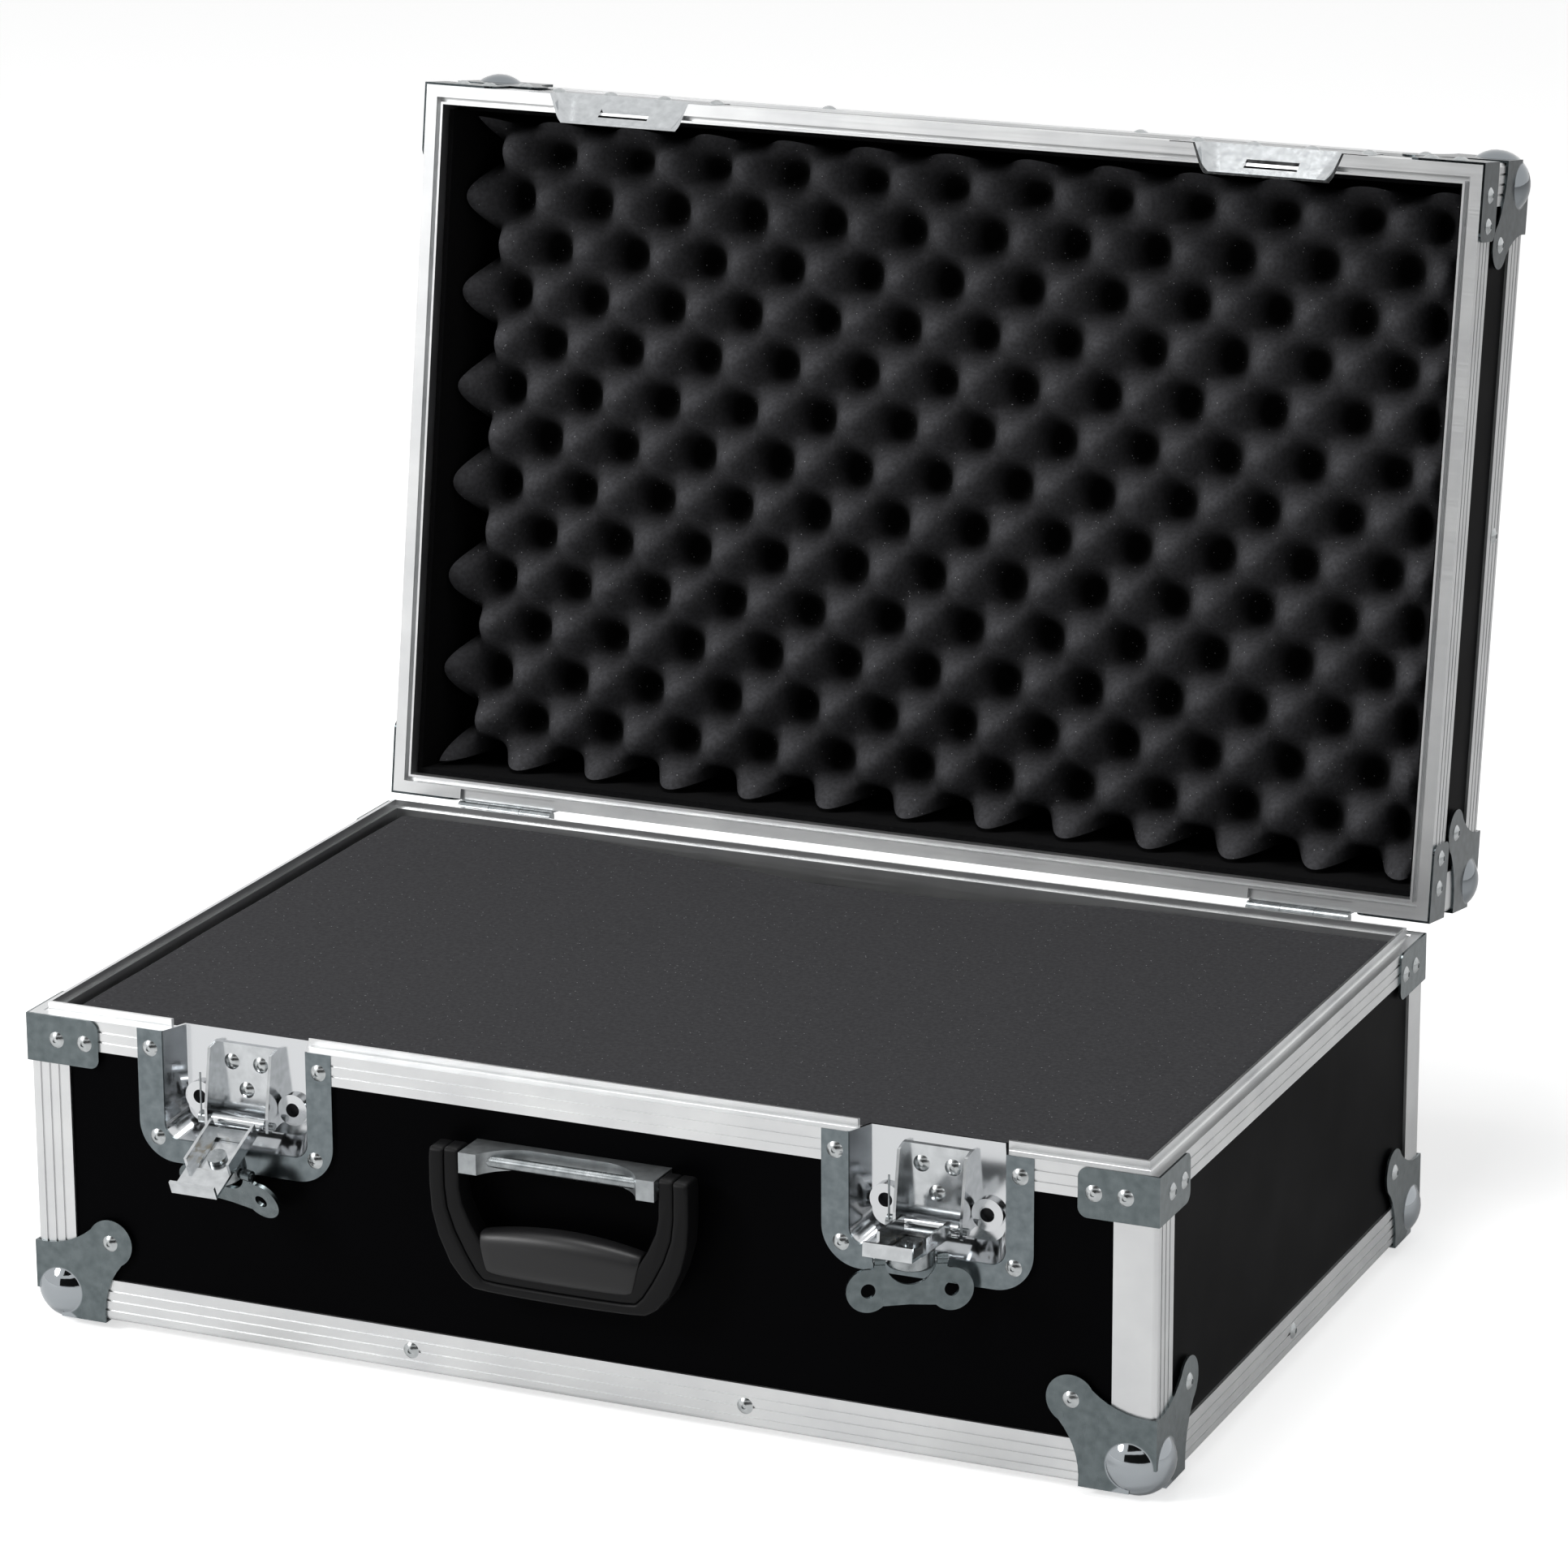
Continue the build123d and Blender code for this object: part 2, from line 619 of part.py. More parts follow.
def latch_wing():
    """Butterfly wing at x = 0, standing out from the drum: two holed lobes on an arched waist."""
    lobe = Circle(wing_lobe_radius)
    sketch = Pos(-wing_lobe_x, wing_lobe_drop) * lobe + Pos(wing_lobe_x, wing_lobe_drop) * lobe
    x1 = wing_lobe_x
    low = wing_lobe_drop + wing_lobe_radius * 0.75
    body = [(-wing_ear, 4), (-wing_ear, -2.5), (wing_ear, -2.5), (wing_ear, 4), (x1 + 7, 8), (x1, low),
            (0, wing_waist), (-x1, low), (-x1 - 7, 8)]
    sketch += face_of(body)
    sketch -= Circle(wing_arch)
    sketch -= Pos(0, -6) * Rectangle(2 * wing_arch, 12)
    for x in (-wing_lobe_x, wing_lobe_x):
        sketch -= Pos(x, wing_lobe_drop) * Circle(wing_hole)
    y, z = closed_y(wing_pivot), pin_z + rotor_reach
    plane = Plane((0, y, z - wing_sheet / 2), x_dir=(1, 0, 0), z_dir=(0, 0, -1))
    wing = extrude(plane * sketch, amount=-wing_sheet)
    for x0 in (-wing_ear, wing_arch):
        wing += rod((x0, y, z), (1, 0, 0), wing_pin_radius + 1.3, wing_ear - wing_arch)
    return wing - rod((-wing_ear - 1, y, z), (1, 0, 0), wing_pin_radius + pin_fit, 2 * wing_ear + 2)


def stored_latch(side, swing, turn):
    """The moving pieces of one latch at their stored swing and turn."""
    x = side * latch_x
    pin_axis = Axis((0, pin_y, pin_z), (1, 0, 0))
    rotor_axis = Axis((0, pin_y, pin_z + rotor_reach), (0, -1, 0))
    fixed = [latch_link(), latch_claw()]
    turning = [part.rotate(rotor_axis, turn) for part in (latch_rotor(), latch_wing(), latch_wing_pin())]
    return [Pos(x, 0, 0) * part.rotate(pin_axis, swing) for part in fixed + turning]


# ---------------------------------------------------------------- handle
def handle_bracket():
    """Plated bracket with end blocks and a hollowed middle, on the front panel."""
    half = handle_bracket_length / 2
    back = front_y + metal
    y_web, y_out = front_y - handle_bracket_web, front_y - handle_bracket_out
    block_x = half - handle_block
    flat = handle_flat / 2
    bow_x = flat + 0.62 * (block_x - flat)
    bow_y = y_web - 0.33 * (y_web - y_out)
    edges = [
        Polyline((-flat, y_web), (flat, y_web)),
        ThreePointArc((flat, y_web), (bow_x, bow_y), (block_x, y_out)),
        Polyline((block_x, y_out), (half, y_out), (half, back)),
        Polyline((half, back), (-half, back), (-half, y_out), (-block_x, y_out)),
        ThreePointArc((-block_x, y_out), (-bow_x, bow_y), (-flat, y_web)),
    ]
    z0 = floor_z + handle_pivot_z - handle_bracket_height / 2
    body = extrude(Pos(0, 0, z0) * make_face(edges), amount=handle_bracket_height)
    return body - rod((-half - 1, handle_y(), handle_z()), (1, 0, 0), handle_pin_radius, 2 * half + 2)


def handle_y():
    return front_y - handle_pivot_out


def handle_z():
    return floor_z + handle_pivot_z


def handle_rod():
    """The pivot rod through the bracket and both arms."""
    half = handle_bracket_length / 2 + handle_gap + handle_arm * 0.8
    return rod((-half, handle_y(), handle_z()), (1, 0, 0), handle_pin_radius, 2 * half)


def handle_frame():
    """Moulded handle: two arms and the flat bar that joins them."""
    inner = handle_bracket_length / 2 + handle_gap
    outer = inner + handle_arm
    z1, z0 = handle_z(), handle_z() - handle_drop
    foot = handle_foot / 2
    bend = z1 - 0.42 * handle_drop
    bar = z0 + handle_bar
    top = z1 + handle_thick / 2
    left = [(-outer, top), (-outer, bend), (-foot - 1, z0 + 2), (-foot + 5, z0)]
    hollow = [(-inner + 13.0, bar), (-inner, bend + 6), (-inner, top)]
    outline = left + [(-x, z) for x, z in left[::-1]] + [(-x, z) for x, z in hollow[::-1]] + hollow
    half = handle_thick / 2
    shape = along_y(outline, handle_y() - half, handle_y() + half)
    tops = shape.edges().filter_by(Axis.X).group_by(Axis.Z)[-1]
    shape = fillet(tops, half - 0.5)
    bore = handle_pin_radius + pin_fit
    length = handle_arm * 0.85 + handle_gap + handle_bracket_length / 2
    return shape - rod((-length, handle_y(), handle_z()), (1, 0, 0), bore, 2 * length)


def handle_grip():
    """Rounded grip bar between the arms."""
    inner = handle_bracket_length / 2 + handle_gap
    bar = handle_z() - handle_drop + handle_bar
    bend = handle_z() - 0.42 * handle_drop + 6
    slope = 13.0 / (bend - bar)
    top = bar + handle_grip_height
    half_low, half_top = inner - 13.0, inner - 13.0 + slope * handle_grip_height
    outline = [(-half_low, bar), (half_low, bar), (half_top, top), (-half_top, top)]
    half = handle_thick / 2 + 1.0
    shape = along_y(outline, handle_y() - half, handle_y() + half)
    return fillet(shape.edges().filter_by(Axis.X), 6.5)


def handle_screw_places():
    z = handle_z()
    return [(x, z) for x in (-35.0, 35.0)]


def handle_screws():
    """Two screws from inside the case into the bracket, each with its washer-faced head."""
    inside = front_y + metal + panel
    found = []
    for x, z in handle_screw_places():
        head = rod((x, inside, z), (0, 1, 0), 4.0, 1.6)
        found.append(head + rod((x, inside, z), (0, -1, 0), 2.0, panel + 3.5))
    return found


def screw_holes(shape):
    """Cut the handle screws' holes."""
    length = 30 + handle_bracket_web
    return shape - [rod((x, front_y + 30, z), (0, -1, 0), 2.0, length) for x, z in handle_screw_places()]


# ---------------------------------------------------------------- hinges
def hinge_span(part):
    """X ranges of the knuckles: the base has the outer two and the lid the middle one."""
    third = hinge_width / 3
    half = hinge_width / 2
    gap = 0.15
    if part == "base":
        return [(-half, -half + third - gap), (half - third + gap, half)]
    return [(-half + third + gap, half - third - gap)]


def hinge_leaf_solid(part):
    """A hinge leaf at x = 0 on the closed case."""
    y, z = half_depth + hinge_back, base_rim_z + parting_gap / 2
    half = hinge_width / 2
    sign = -1 if part == "base" else 1
    z0, z1 = sorted((z + sign * 1.0, z + sign * hinge_leaf))
    shape = block(-half, half, half_depth, half_depth + hinge_sheet, z0, z1)
    other = "lid" if part == "base" else "base"
    for x0, x1 in hinge_span(other):
        shape -= rod((x0 - 0.3, y, z), (1, 0, 0), hinge_knuckle + 0.4, x1 - x0 + 0.6)
    for x0, x1 in hinge_span(part):
        shape += rod((x0, y, z), (1, 0, 0), hinge_knuckle, x1 - x0)
    bore = hinge_pin + (pin_fit if part == "lid" else 0)
    return shape - rod((-half - 1, y, z), (1, 0, 0), bore, hinge_width + 2)


def hinge_pin_solid():
    y, z = half_depth + hinge_back, base_rim_z + parting_gap / 2
    return rod((-hinge_width / 2, y, z), (1, 0, 0), hinge_pin, hinge_width)


def hinge_rivet_places(part):
    """Two rivets in each leaf."""
    sign = -1 if part == "base" else 1
    z = base_rim_z + parting_gap / 2 + sign * (hinge_leaf - 7.0)
    y = half_depth + hinge_sheet
    return [((x, y, z), (0, 1, 0)) for x in (-19.0, 19.0)]


def hinge_notches():
    """Cuts in both rims beside each hinge."""
    half = hinge_width / 2 + 0.5
    y0, y1 = half_depth - hinge_notch, half_depth + 1
    z = base_rim_z + parting_gap / 2
    return [block(x - half, x + half, y0, y1, z - 3.0, z + 3.0) for x in (-hinge_x, hinge_x)]


# ---------------------------------------------------------------- foam and lining
def inside_box(z0, z1, clear):
    """Box inside a tray's walls, clear of them and of the rim's inner lip."""
    x, y = half_length - rim_width - clear, half_depth - rim_width - clear
    return block(-x, x, -y, y, z0, z1)


def base_foam():
    """Foam block that fills the base, notched round the latch dishes."""
    foam = inside_box(floor_z + metal + panel + foam_clear, base_rim_z - foam_below_rim, foam_clear)
    clear = dish_wall + foam_clear
    half = recess_width / 2 + clear
    low = base_rim_z - recess_height - clear
    for x in (-latch_x, latch_x):
        foam -= block(x - half, x + half, front_y, dish_floor_y + clear, low, base_rim_z)
    screw = [block(x - 6, x + 6, front_y, front_y + metal + panel + 4, z - 6, z + 6)
             for x, z in handle_screw_places()]
    return foam - screw


def lid_foam():
    """Closed block that holds the convoluted foam of the lid, closed place."""
    top = lid_top_z - metal - panel - foam_clear
    return inside_box(top - lid_foam_thickness, top, foam_clear + lining_thickness)


def lid_lining():
    """Four strips of lining round the lid's walls, closed place."""
    low = lid_rim_z + lining_below_rim
    high = lid_top_z - metal - panel - foam_clear
    x, y = half_length - rim_width - slack, half_depth - rim_width - slack
    t = lining_thickness
    front = block(-x, x, -y, t - y, low, high)
    left = block(-x, t - x, t - y, y - t, low, high)
    half = recess_width / 2 + dish_wall + foam_clear
    top = lid_rim_z + keeper_recess + dish_wall + foam_clear
    recess = both_sides(block(-half, half, -y - 1, t + 1 - y, low - 1, top))
    return [front - recess, mirror(front, about=Plane.XZ), left, mirror(left, about=Plane.YZ)]


# ---------------------------------------------------------------- build
def build_base():
    """The base tray with everything fixed to it."""
    corner_places = mirrored_places(corner_rivet_places())
    brace_places = mirrored_places(brace_rivet_places(base_height))
    edge_places = edging_rivet_places()
    tray_places = corner_places + brace_places + edge_places
    lift = Pos(0, 0, floor_z)
    raised = [((x, y, z + floor_z), d) for (x, y, z), d in tray_places]
    dish_places = moved(dish_rivet_places(), -latch_x) + moved(dish_rivet_places(), latch_x)
    bracket_places = moved(bracket_rivet_places(), -latch_x) + moved(bracket_rivet_places(), latch_x)
    hinge_places = moved(hinge_rivet_places("base"), -hinge_x) + moved(hinge_rivet_places("base"), hinge_x)
    cavities = both_sides(dish_cavity(dish_wall))
    flanges = both_sides(Pos(0, 0, base_rim_z - slack) * flange(dish_width, dish_height))

    panels = tray_panels(base_height, base_height - rim_web - slack)
    names = ("front", "rear", "left", "right", "bottom")
    for name, shape in zip(names, panels):
        shape = drilled(lift * shape, raised + dish_places + hinge_places)
        if name == "front":
            shape = screw_holes(shape - cavities)
        save(f"base_{name}_panel", shape)
    save("base_bottom_edging", *[drilled(lift * s, raised) for s in bottom_edging()])
    posts = upright_edging(base_height, base_rim_face)
    save("base_upright_edging", *[drilled(lift * s, raised) for s in posts])
    rails = [lift * s for s in rim_frame(base_rim_outline(), base_height, base_rim_face, 2)]
    rails[0] = rails[0] - cavities - flanges
    rails[1] = rails[1] - hinge_notches()
    save("base_rim", *[drilled(s, raised + hinge_places) for s in rails])
    corners = [drilled(lift * s, raised) for s in four_corners(ball_corner())]
    save("base_ball_corners", *corners)
    save("base_rim_braces", *[drilled(lift * s, raised) for s in four_corners(rim_brace(base_height))])
    save("base_rivets", *rivets(raised + hinge_places))
    save("base_foam", base_foam())
    save("latch_rivets", *rivets(dish_places + bracket_places))
    build_latch_seats(dish_places + bracket_places)
    build_handle_seat()
    leaves = [Pos(x, 0, 0) * hinge_leaf_solid("base") for x in (-hinge_x, hinge_x)]
    save("hinge_base_leaves", *[drilled(s, hinge_places) for s in leaves])
    save("hinge_pins", *[Pos(x, 0, 0) * hinge_pin_solid() for x in (-hinge_x, hinge_x)])


def build_latch_seats(places):
    """Dish, bracket, pin and spring of each latch."""
    for name, x in (("left", -latch_x), ("right", latch_x)):
        place = Pos(x, 0, 0)
        save(f"latch_dish_{name}", drilled(place * latch_dish(), places))
        save(f"latch_bracket_{name}", drilled(place * latch_bracket(), places))
        save(f"latch_pin_{name}", place * latch_pin())
        save(f"latch_spring_{name}", place * latch_spring())


def build_handle_seat():
    save("handle_bracket", screw_holes(handle_bracket()))
    save("handle_screws", *handle_screws())
    save("handle_rod", handle_rod())


def build_lid():
    """The lid tray with everything fixed to it, swung open."""
    places = mirrored_places(corner_rivet_places()) + mirrored_places(brace_rivet_places(lid_height))
    places += edging_rivet_places()
    turned = [((x, y, lid_top_z - z), (u, v, -w)) for (x, y, z), (u, v, w) in places]
    keeper_places = moved(keeper_rivet_places(), -latch_x) + moved(keeper_rivet_places(), latch_x)
    hinge_places = moved(hinge_rivet_places("lid"), -hinge_x) + moved(hinge_rivet_places("lid"), hinge_x)
    cavities = both_sides(keeper_cavity(dish_wall))
    plate = mirror(flange(dish_width, keeper_height), about=Plane.XY)
    flanges = both_sides(Pos(0, 0, lid_rim_z + slack) * plate)

    panels = tray_panels(lid_height, lid_height - lid_web_depth() - slack)
    names = ("front", "rear", "left", "right", "top")
    for name, shape in zip(names, panels):
        shape = drilled(to_lid(shape), turned + keeper_places + hinge_places)
        if name == "front":
            shape -= cavities
        save(f"lid_{name}_panel", swung_open(shape))
    save("lid_top_edging", *[swung_open(drilled(to_lid(s), turned)) for s in bottom_edging()])
    posts = upright_edging(lid_height, lid_rim_face)
    save("lid_upright_edging", *[swung_open(drilled(to_lid(s), turned)) for s in posts])
    rails = [to_lid(s) for s in rim_frame(lid_rim_outline(), lid_height, lid_rim_face, 3)]
    rails[0] = rails[0] - cavities - flanges
    rails[1] = rails[1] - hinge_notches()
    save("lid_rim", *[swung_open(drilled(s, turned + hinge_places)) for s in rails])
    save("lid_ball_corners", *[swung_open(drilled(to_lid(s), turned)) for s in four_corners(ball_corner())])
    braces = [drilled(to_lid(s), turned) for s in four_corners(rim_brace(lid_height))]
    save("lid_rim_braces", *[swung_open(s) for s in braces])
    save("lid_rivets", *[swung_open(s) for s in rivets(turned + hinge_places)])
    save("keeper_rivets", *[swung_open(s) for s in rivets(keeper_places)])
    save("lid_foam", swung_open(lid_foam()))
    save("lid_lining", *[swung_open(s) for s in lid_lining()])
    for name, x in (("left", -latch_x), ("right", latch_x)):
        save(f"keeper_{name}", swung_open(drilled(Pos(x, 0, 0) * keeper(), keeper_places)))
    leaves = [Pos(x, 0, 0) * hinge_leaf_solid("lid") for x in (-hinge_x, hinge_x)]
    save("hinge_lid_leaves", *[swung_open(drilled(s, hinge_places)) for s in leaves])


def build_latch_arms():
    """The moving pieces of both latches."""
    stored = (("left", -1, left_swing_deg, left_turn_deg), ("right", 1, right_swing_deg, right_turn_deg))
    for name, side, swing, turn in stored:
        parts = stored_latch(side, swing, turn)
        for node, part in zip(("link", "claw", "rotor", "wing", "wing_pin"), parts):
            save(f"latch_{node}_{name}", part)


os.makedirs("parts", exist_ok=True)
build_base()
build_lid()
build_latch_arms()
save("handle_frame", handle_frame())
save("handle_grip", handle_grip())
print("pin", pin_y, pin_z, "hinge", half_depth + hinge_back, base_rim_z + parting_gap / 2)
print("handle pivot", handle_y(), handle_z(), "rim", base_rim_z, "lid top", lid_top_z)
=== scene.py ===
# %% [markdown]
# # An equipment case, opened
# A foam-lined case of black laminate boards held in aluminium edging, with ball corners,
# two recessed latches and a swing-down handle. The hard parts come from the CAD frame and
# keep their shape. This lesson gives each of them a finish, and models by hand the pieces
# that are soft or moulded: both foams, the lining strips, the handle and its grip.

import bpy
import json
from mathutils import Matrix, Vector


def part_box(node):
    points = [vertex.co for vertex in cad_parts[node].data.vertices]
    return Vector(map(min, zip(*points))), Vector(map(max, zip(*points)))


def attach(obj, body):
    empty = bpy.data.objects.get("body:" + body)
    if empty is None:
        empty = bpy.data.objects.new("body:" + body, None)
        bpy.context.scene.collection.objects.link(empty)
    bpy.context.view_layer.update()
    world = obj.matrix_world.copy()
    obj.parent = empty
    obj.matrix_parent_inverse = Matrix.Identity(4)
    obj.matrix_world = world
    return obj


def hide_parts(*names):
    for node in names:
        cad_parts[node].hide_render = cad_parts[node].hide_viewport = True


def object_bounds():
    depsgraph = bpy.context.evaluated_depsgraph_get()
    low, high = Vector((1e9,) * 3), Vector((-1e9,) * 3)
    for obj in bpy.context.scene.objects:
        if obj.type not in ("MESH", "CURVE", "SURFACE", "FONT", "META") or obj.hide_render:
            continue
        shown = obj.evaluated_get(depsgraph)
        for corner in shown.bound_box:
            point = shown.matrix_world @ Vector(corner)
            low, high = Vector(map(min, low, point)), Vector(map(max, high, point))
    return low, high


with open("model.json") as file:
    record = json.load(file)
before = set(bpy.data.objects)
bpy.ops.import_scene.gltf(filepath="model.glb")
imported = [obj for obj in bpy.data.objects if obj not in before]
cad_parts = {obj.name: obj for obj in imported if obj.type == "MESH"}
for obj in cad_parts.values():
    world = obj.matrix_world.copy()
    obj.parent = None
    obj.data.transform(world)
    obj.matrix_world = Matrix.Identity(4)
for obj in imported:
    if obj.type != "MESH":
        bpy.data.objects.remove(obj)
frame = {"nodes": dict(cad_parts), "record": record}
cad_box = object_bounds()
print("CAD box", cad_box)

# %% [markdown]
# ## Tools for the bench
# Every new piece is started from a primitive and finished with its place in its mesh. The
# few helpers here do what one does by hand again and again: clear the selection, pick faces
# by a rule, and settle the object's place into its mesh.

# %% Bench helpers
import json
from math import atan2, cos, pi, radians, sin, sqrt

import bpy
from mathutils import Matrix, Vector, noise

MM = 0.001


def clear_selection():
    if bpy.context.object and bpy.context.object.mode != "OBJECT":
        bpy.ops.object.mode_set(mode="OBJECT")
    bpy.ops.object.select_all(action="DESELECT")


def hold(piece):
    """Make one piece the only one selected."""
    clear_selection()
    piece.select_set(True)
    bpy.context.view_layer.objects.active = piece
    return piece


def settle(piece):
    """Put the object's place, turn and scale into its mesh."""
    hold(piece)
    bpy.ops.object.transform_apply(location=True, rotation=True, scale=True)
    return piece


def pick_faces(piece, rule):
    """Enter edit mode with only the faces chosen that the rule accepts."""
    hold(piece)
    bpy.ops.object.mode_set(mode="EDIT")
    bpy.ops.mesh.select_mode(type="FACE")
    bpy.ops.mesh.select_all(action="DESELECT")
    bpy.ops.object.mode_set(mode="OBJECT")
    for face in piece.data.polygons:
        face.select = bool(rule(face))
    bpy.ops.object.mode_set(mode="EDIT")


def block(name, low, high):
    """A block between two corners given in millimetres."""
    clear_selection()
    centre = [(a + b) / 2 * MM for a, b in zip(low, high)]
    size = [(b - a) * MM for a, b in zip(low, high)]
    bpy.ops.mesh.primitive_cube_add(size=1, location=centre, scale=size)
    piece = bpy.context.object
    piece.name = name
    return settle(piece)


def round_edges(piece, radius_mm, segments=3):
    """Bevel every sharp edge and keep the result."""
    hold(piece)
    bevel = piece.modifiers.new("round", "BEVEL")
    bevel.width = radius_mm * MM
    bevel.segments = segments
    bevel.limit_method = "ANGLE"
    bpy.ops.object.modifier_apply(modifier=bevel.name)
    bpy.ops.object.shade_smooth_by_angle(angle=radians(40))
    return piece


# %% [markdown]
# ## Where things are
# The lid is stored open. Its pieces are easier to shape on the closed case and are then
# swung about the hinge, so the hinge's place and swing are read from the record.

# %% Hinge and boxes
joints = {joint["name"]: joint for joint in frame["record"]["behaviour"]["joints"]}
hinge_place = Vector(joints["lid_hinge"]["pos_m"])
lid_swing = radians(joints["lid_hinge"]["range_deg"][1])
opened = (Matrix.Translation(hinge_place) @ Matrix.Rotation(-lid_swing, 4, "X")
          @ Matrix.Translation(-hinge_place))
case_low, case_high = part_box("base_bottom_edging")
half_length = case_high[0] / MM
half_depth = case_high[1] / MM
ball_inset = 12.5                     # a ball's centre behind the edging's outside
ball_radius = 18.0
base_ball_z, lid_ball_z = 11.0, 224.0    # on the closed case
flange_back = -194.4                  # where a latch dish leaves its flange, along Y
print("case", half_length * 2, "by", half_depth * 2, "mm, lid swing", lid_swing)


def swing_open(piece):
    """Turn a piece that was shaped on the closed case to the lid's stored place."""
    piece.data.transform(opened)
    piece.data.update()
    return piece


# %% [markdown]
# ## Material tools
# Colours are written as sRGB hex and turned to linear by one function. One more function
# adds a node with its settings and links.

# %% Material helpers
def colour(hex_text):
    """Linear RGBA of an sRGB hex value."""
    channels = [int(hex_text[i:i + 2], 16) / 255 for i in (1, 3, 5)]
    return [c / 12.92 if c <= 0.04045 else ((c + 0.055) / 1.055) ** 2.4 for c in channels] + [1.0]


def add_node(tree, kind, settings=(), links=()):
    """Add a node, set its sockets or properties, and link outputs into its inputs."""
    node = tree.nodes.new(kind)
    for key, value in dict(settings).items():
        if isinstance(key, int) or key in node.inputs:
            node.inputs[key].default_value = value
        else:
            setattr(node, key, value)
    for key, output in dict(links).items():
        tree.links.new(output, node.inputs[key])
    return node


def new_finish(name, base, metallic, roughness, ior=None):
    """A material with its Principled shader set; gives (material, tree, shader)."""
    material = bpy.data.materials.new(name)
    material.use_nodes = True
    tree = material.node_tree
    shader = tree.nodes["Principled BSDF"]
    shader.inputs["Base Color"].default_value = colour(base)
    shader.inputs["Metallic"].default_value = metallic
    shader.inputs["Roughness"].default_value = roughness
    if ior:
        shader.inputs["IOR"].default_value = ior
    return material, tree, shader


def ramp(tree, source, stops):
    """A colour ramp with (position, hex) stops."""
    node = add_node(tree, "ShaderNodeValToRGB", links={"Fac": source})
    elements = node.color_ramp.elements
    while len(elements) < len(stops):
        elements.new(0.5)
    for element, (place, hex_text) in zip(elements, stops):
        element.position = place
        element.color = colour(hex_text)
    return node


def bump(tree, shader, height, strength, distance_mm):
    node = add_node(tree, "ShaderNodeBump", {"Strength": strength, "Distance": distance_mm * MM},
                    {"Height": height})
    tree.links.new(node.outputs["Normal"], shader.inputs["Normal"])


def span(tree, source, low, high):
    """Map a source that runs from 0 to 1 onto low to high."""
    return add_node(tree, "ShaderNodeMapRange", {"To Min": low, "To Max": high}, {"Value": source})


def grain(tree, size_mm, detail=2.0, stretch=(1, 1, 1)):
    """Noise whose cells are about size_mm across, in object space."""
    place = add_node(tree, "ShaderNodeTexCoord")
    spread = add_node(tree, "ShaderNodeMapping", {"Scale": stretch}, {"Vector": place.outputs["Object"]})
    return add_node(tree, "ShaderNodeTexNoise", {"Scale": 1 / (size_mm * MM), "Detail": detail},
                    {"Vector": spread.outputs["Vector"]})


# %% [markdown]
# ## Black laminate board
# The walls are plywood faced with a phenolic laminate. It is deep black, with a satin face
# and a very fine pebble that breaks up the highlight, so its mirror share is kept low.

# %% Laminate
laminate, tree, shader = new_finish("black phenolic laminate", "#040405", 0.0, 0.42, 1.5)
shader.inputs["Specular IOR Level"].default_value = 0.015
pebble = grain(tree, 1.2, 3.0)
bump(tree, shader, pebble.outputs["Fac"], 0.12, 0.15)
smudge = grain(tree, 45.0, 3.0)
satin = span(tree, smudge.outputs["Fac"], 0.36, 0.50)
tree.links.new(satin.outputs["Result"], shader.inputs["Roughness"])

# %% [markdown]
# ## Anodised aluminium
# The edging and the rims are extruded, then etched and anodised, which leaves a pale satin
# metal. Extrusion draws hair-fine lines along each length; they are drawn here at about a
# millimetre, coarser than real, so that they show.

# %% Aluminium
def satin_aluminium(name, base, roughness):
    material, tree, shader = new_finish(name, base, 1.0, roughness)
    lines = grain(tree, 1.0, 2.0, (0.02, 0.02, 1.0))
    cloud = grain(tree, 30.0, 4.0)
    tone = ramp(tree, cloud.outputs["Fac"], [(0.3, "#cfd0d1"), (0.7, base)])
    tree.links.new(tone.outputs["Color"], shader.inputs["Base Color"])
    blur = span(tree, lines.outputs["Fac"], roughness - 0.05, roughness + 0.07)
    tree.links.new(blur.outputs["Result"], shader.inputs["Roughness"])
    bump(tree, shader, lines.outputs["Fac"], 0.05, 0.05)
    return material


edging_metal = satin_aluminium("anodised aluminium edging", "#d9dada", 0.36)
rim_metal = satin_aluminium("anodised aluminium rim", "#dddede", 0.34)

# %% [markdown]
# ## Plated steel
# Corners, braces, latch dishes and latch parts are pressed steel with a bright plating. The
# plating clouds a little and carries short rub marks, so both the tone and the gloss vary.
# Drawing the metal polishes the balls and bowls, which take a lower roughness; their brighter colour is a
# painted reflection, and the flat plates are given a dark grey, painted shade for the dark they reflect.
# The share with the
# painted reflection is found by place: how far a point lies from a ball's centre, or how far behind the
# case's front it lies.

# %% Plating
def mix_colour(tree, share, first, second):
    """Blend two colours, each an output or a hex text, by a share from 0 to 1."""
    node = add_node(tree, "ShaderNodeMix", {"data_type": "RGBA"}, {0: share})
    for socket, value in ((6, first), (7, second)):
        if isinstance(value, str):
            node.inputs[socket].default_value = colour(value)
        else:
            tree.links.new(value, node.inputs[socket])
    return node.outputs[2]


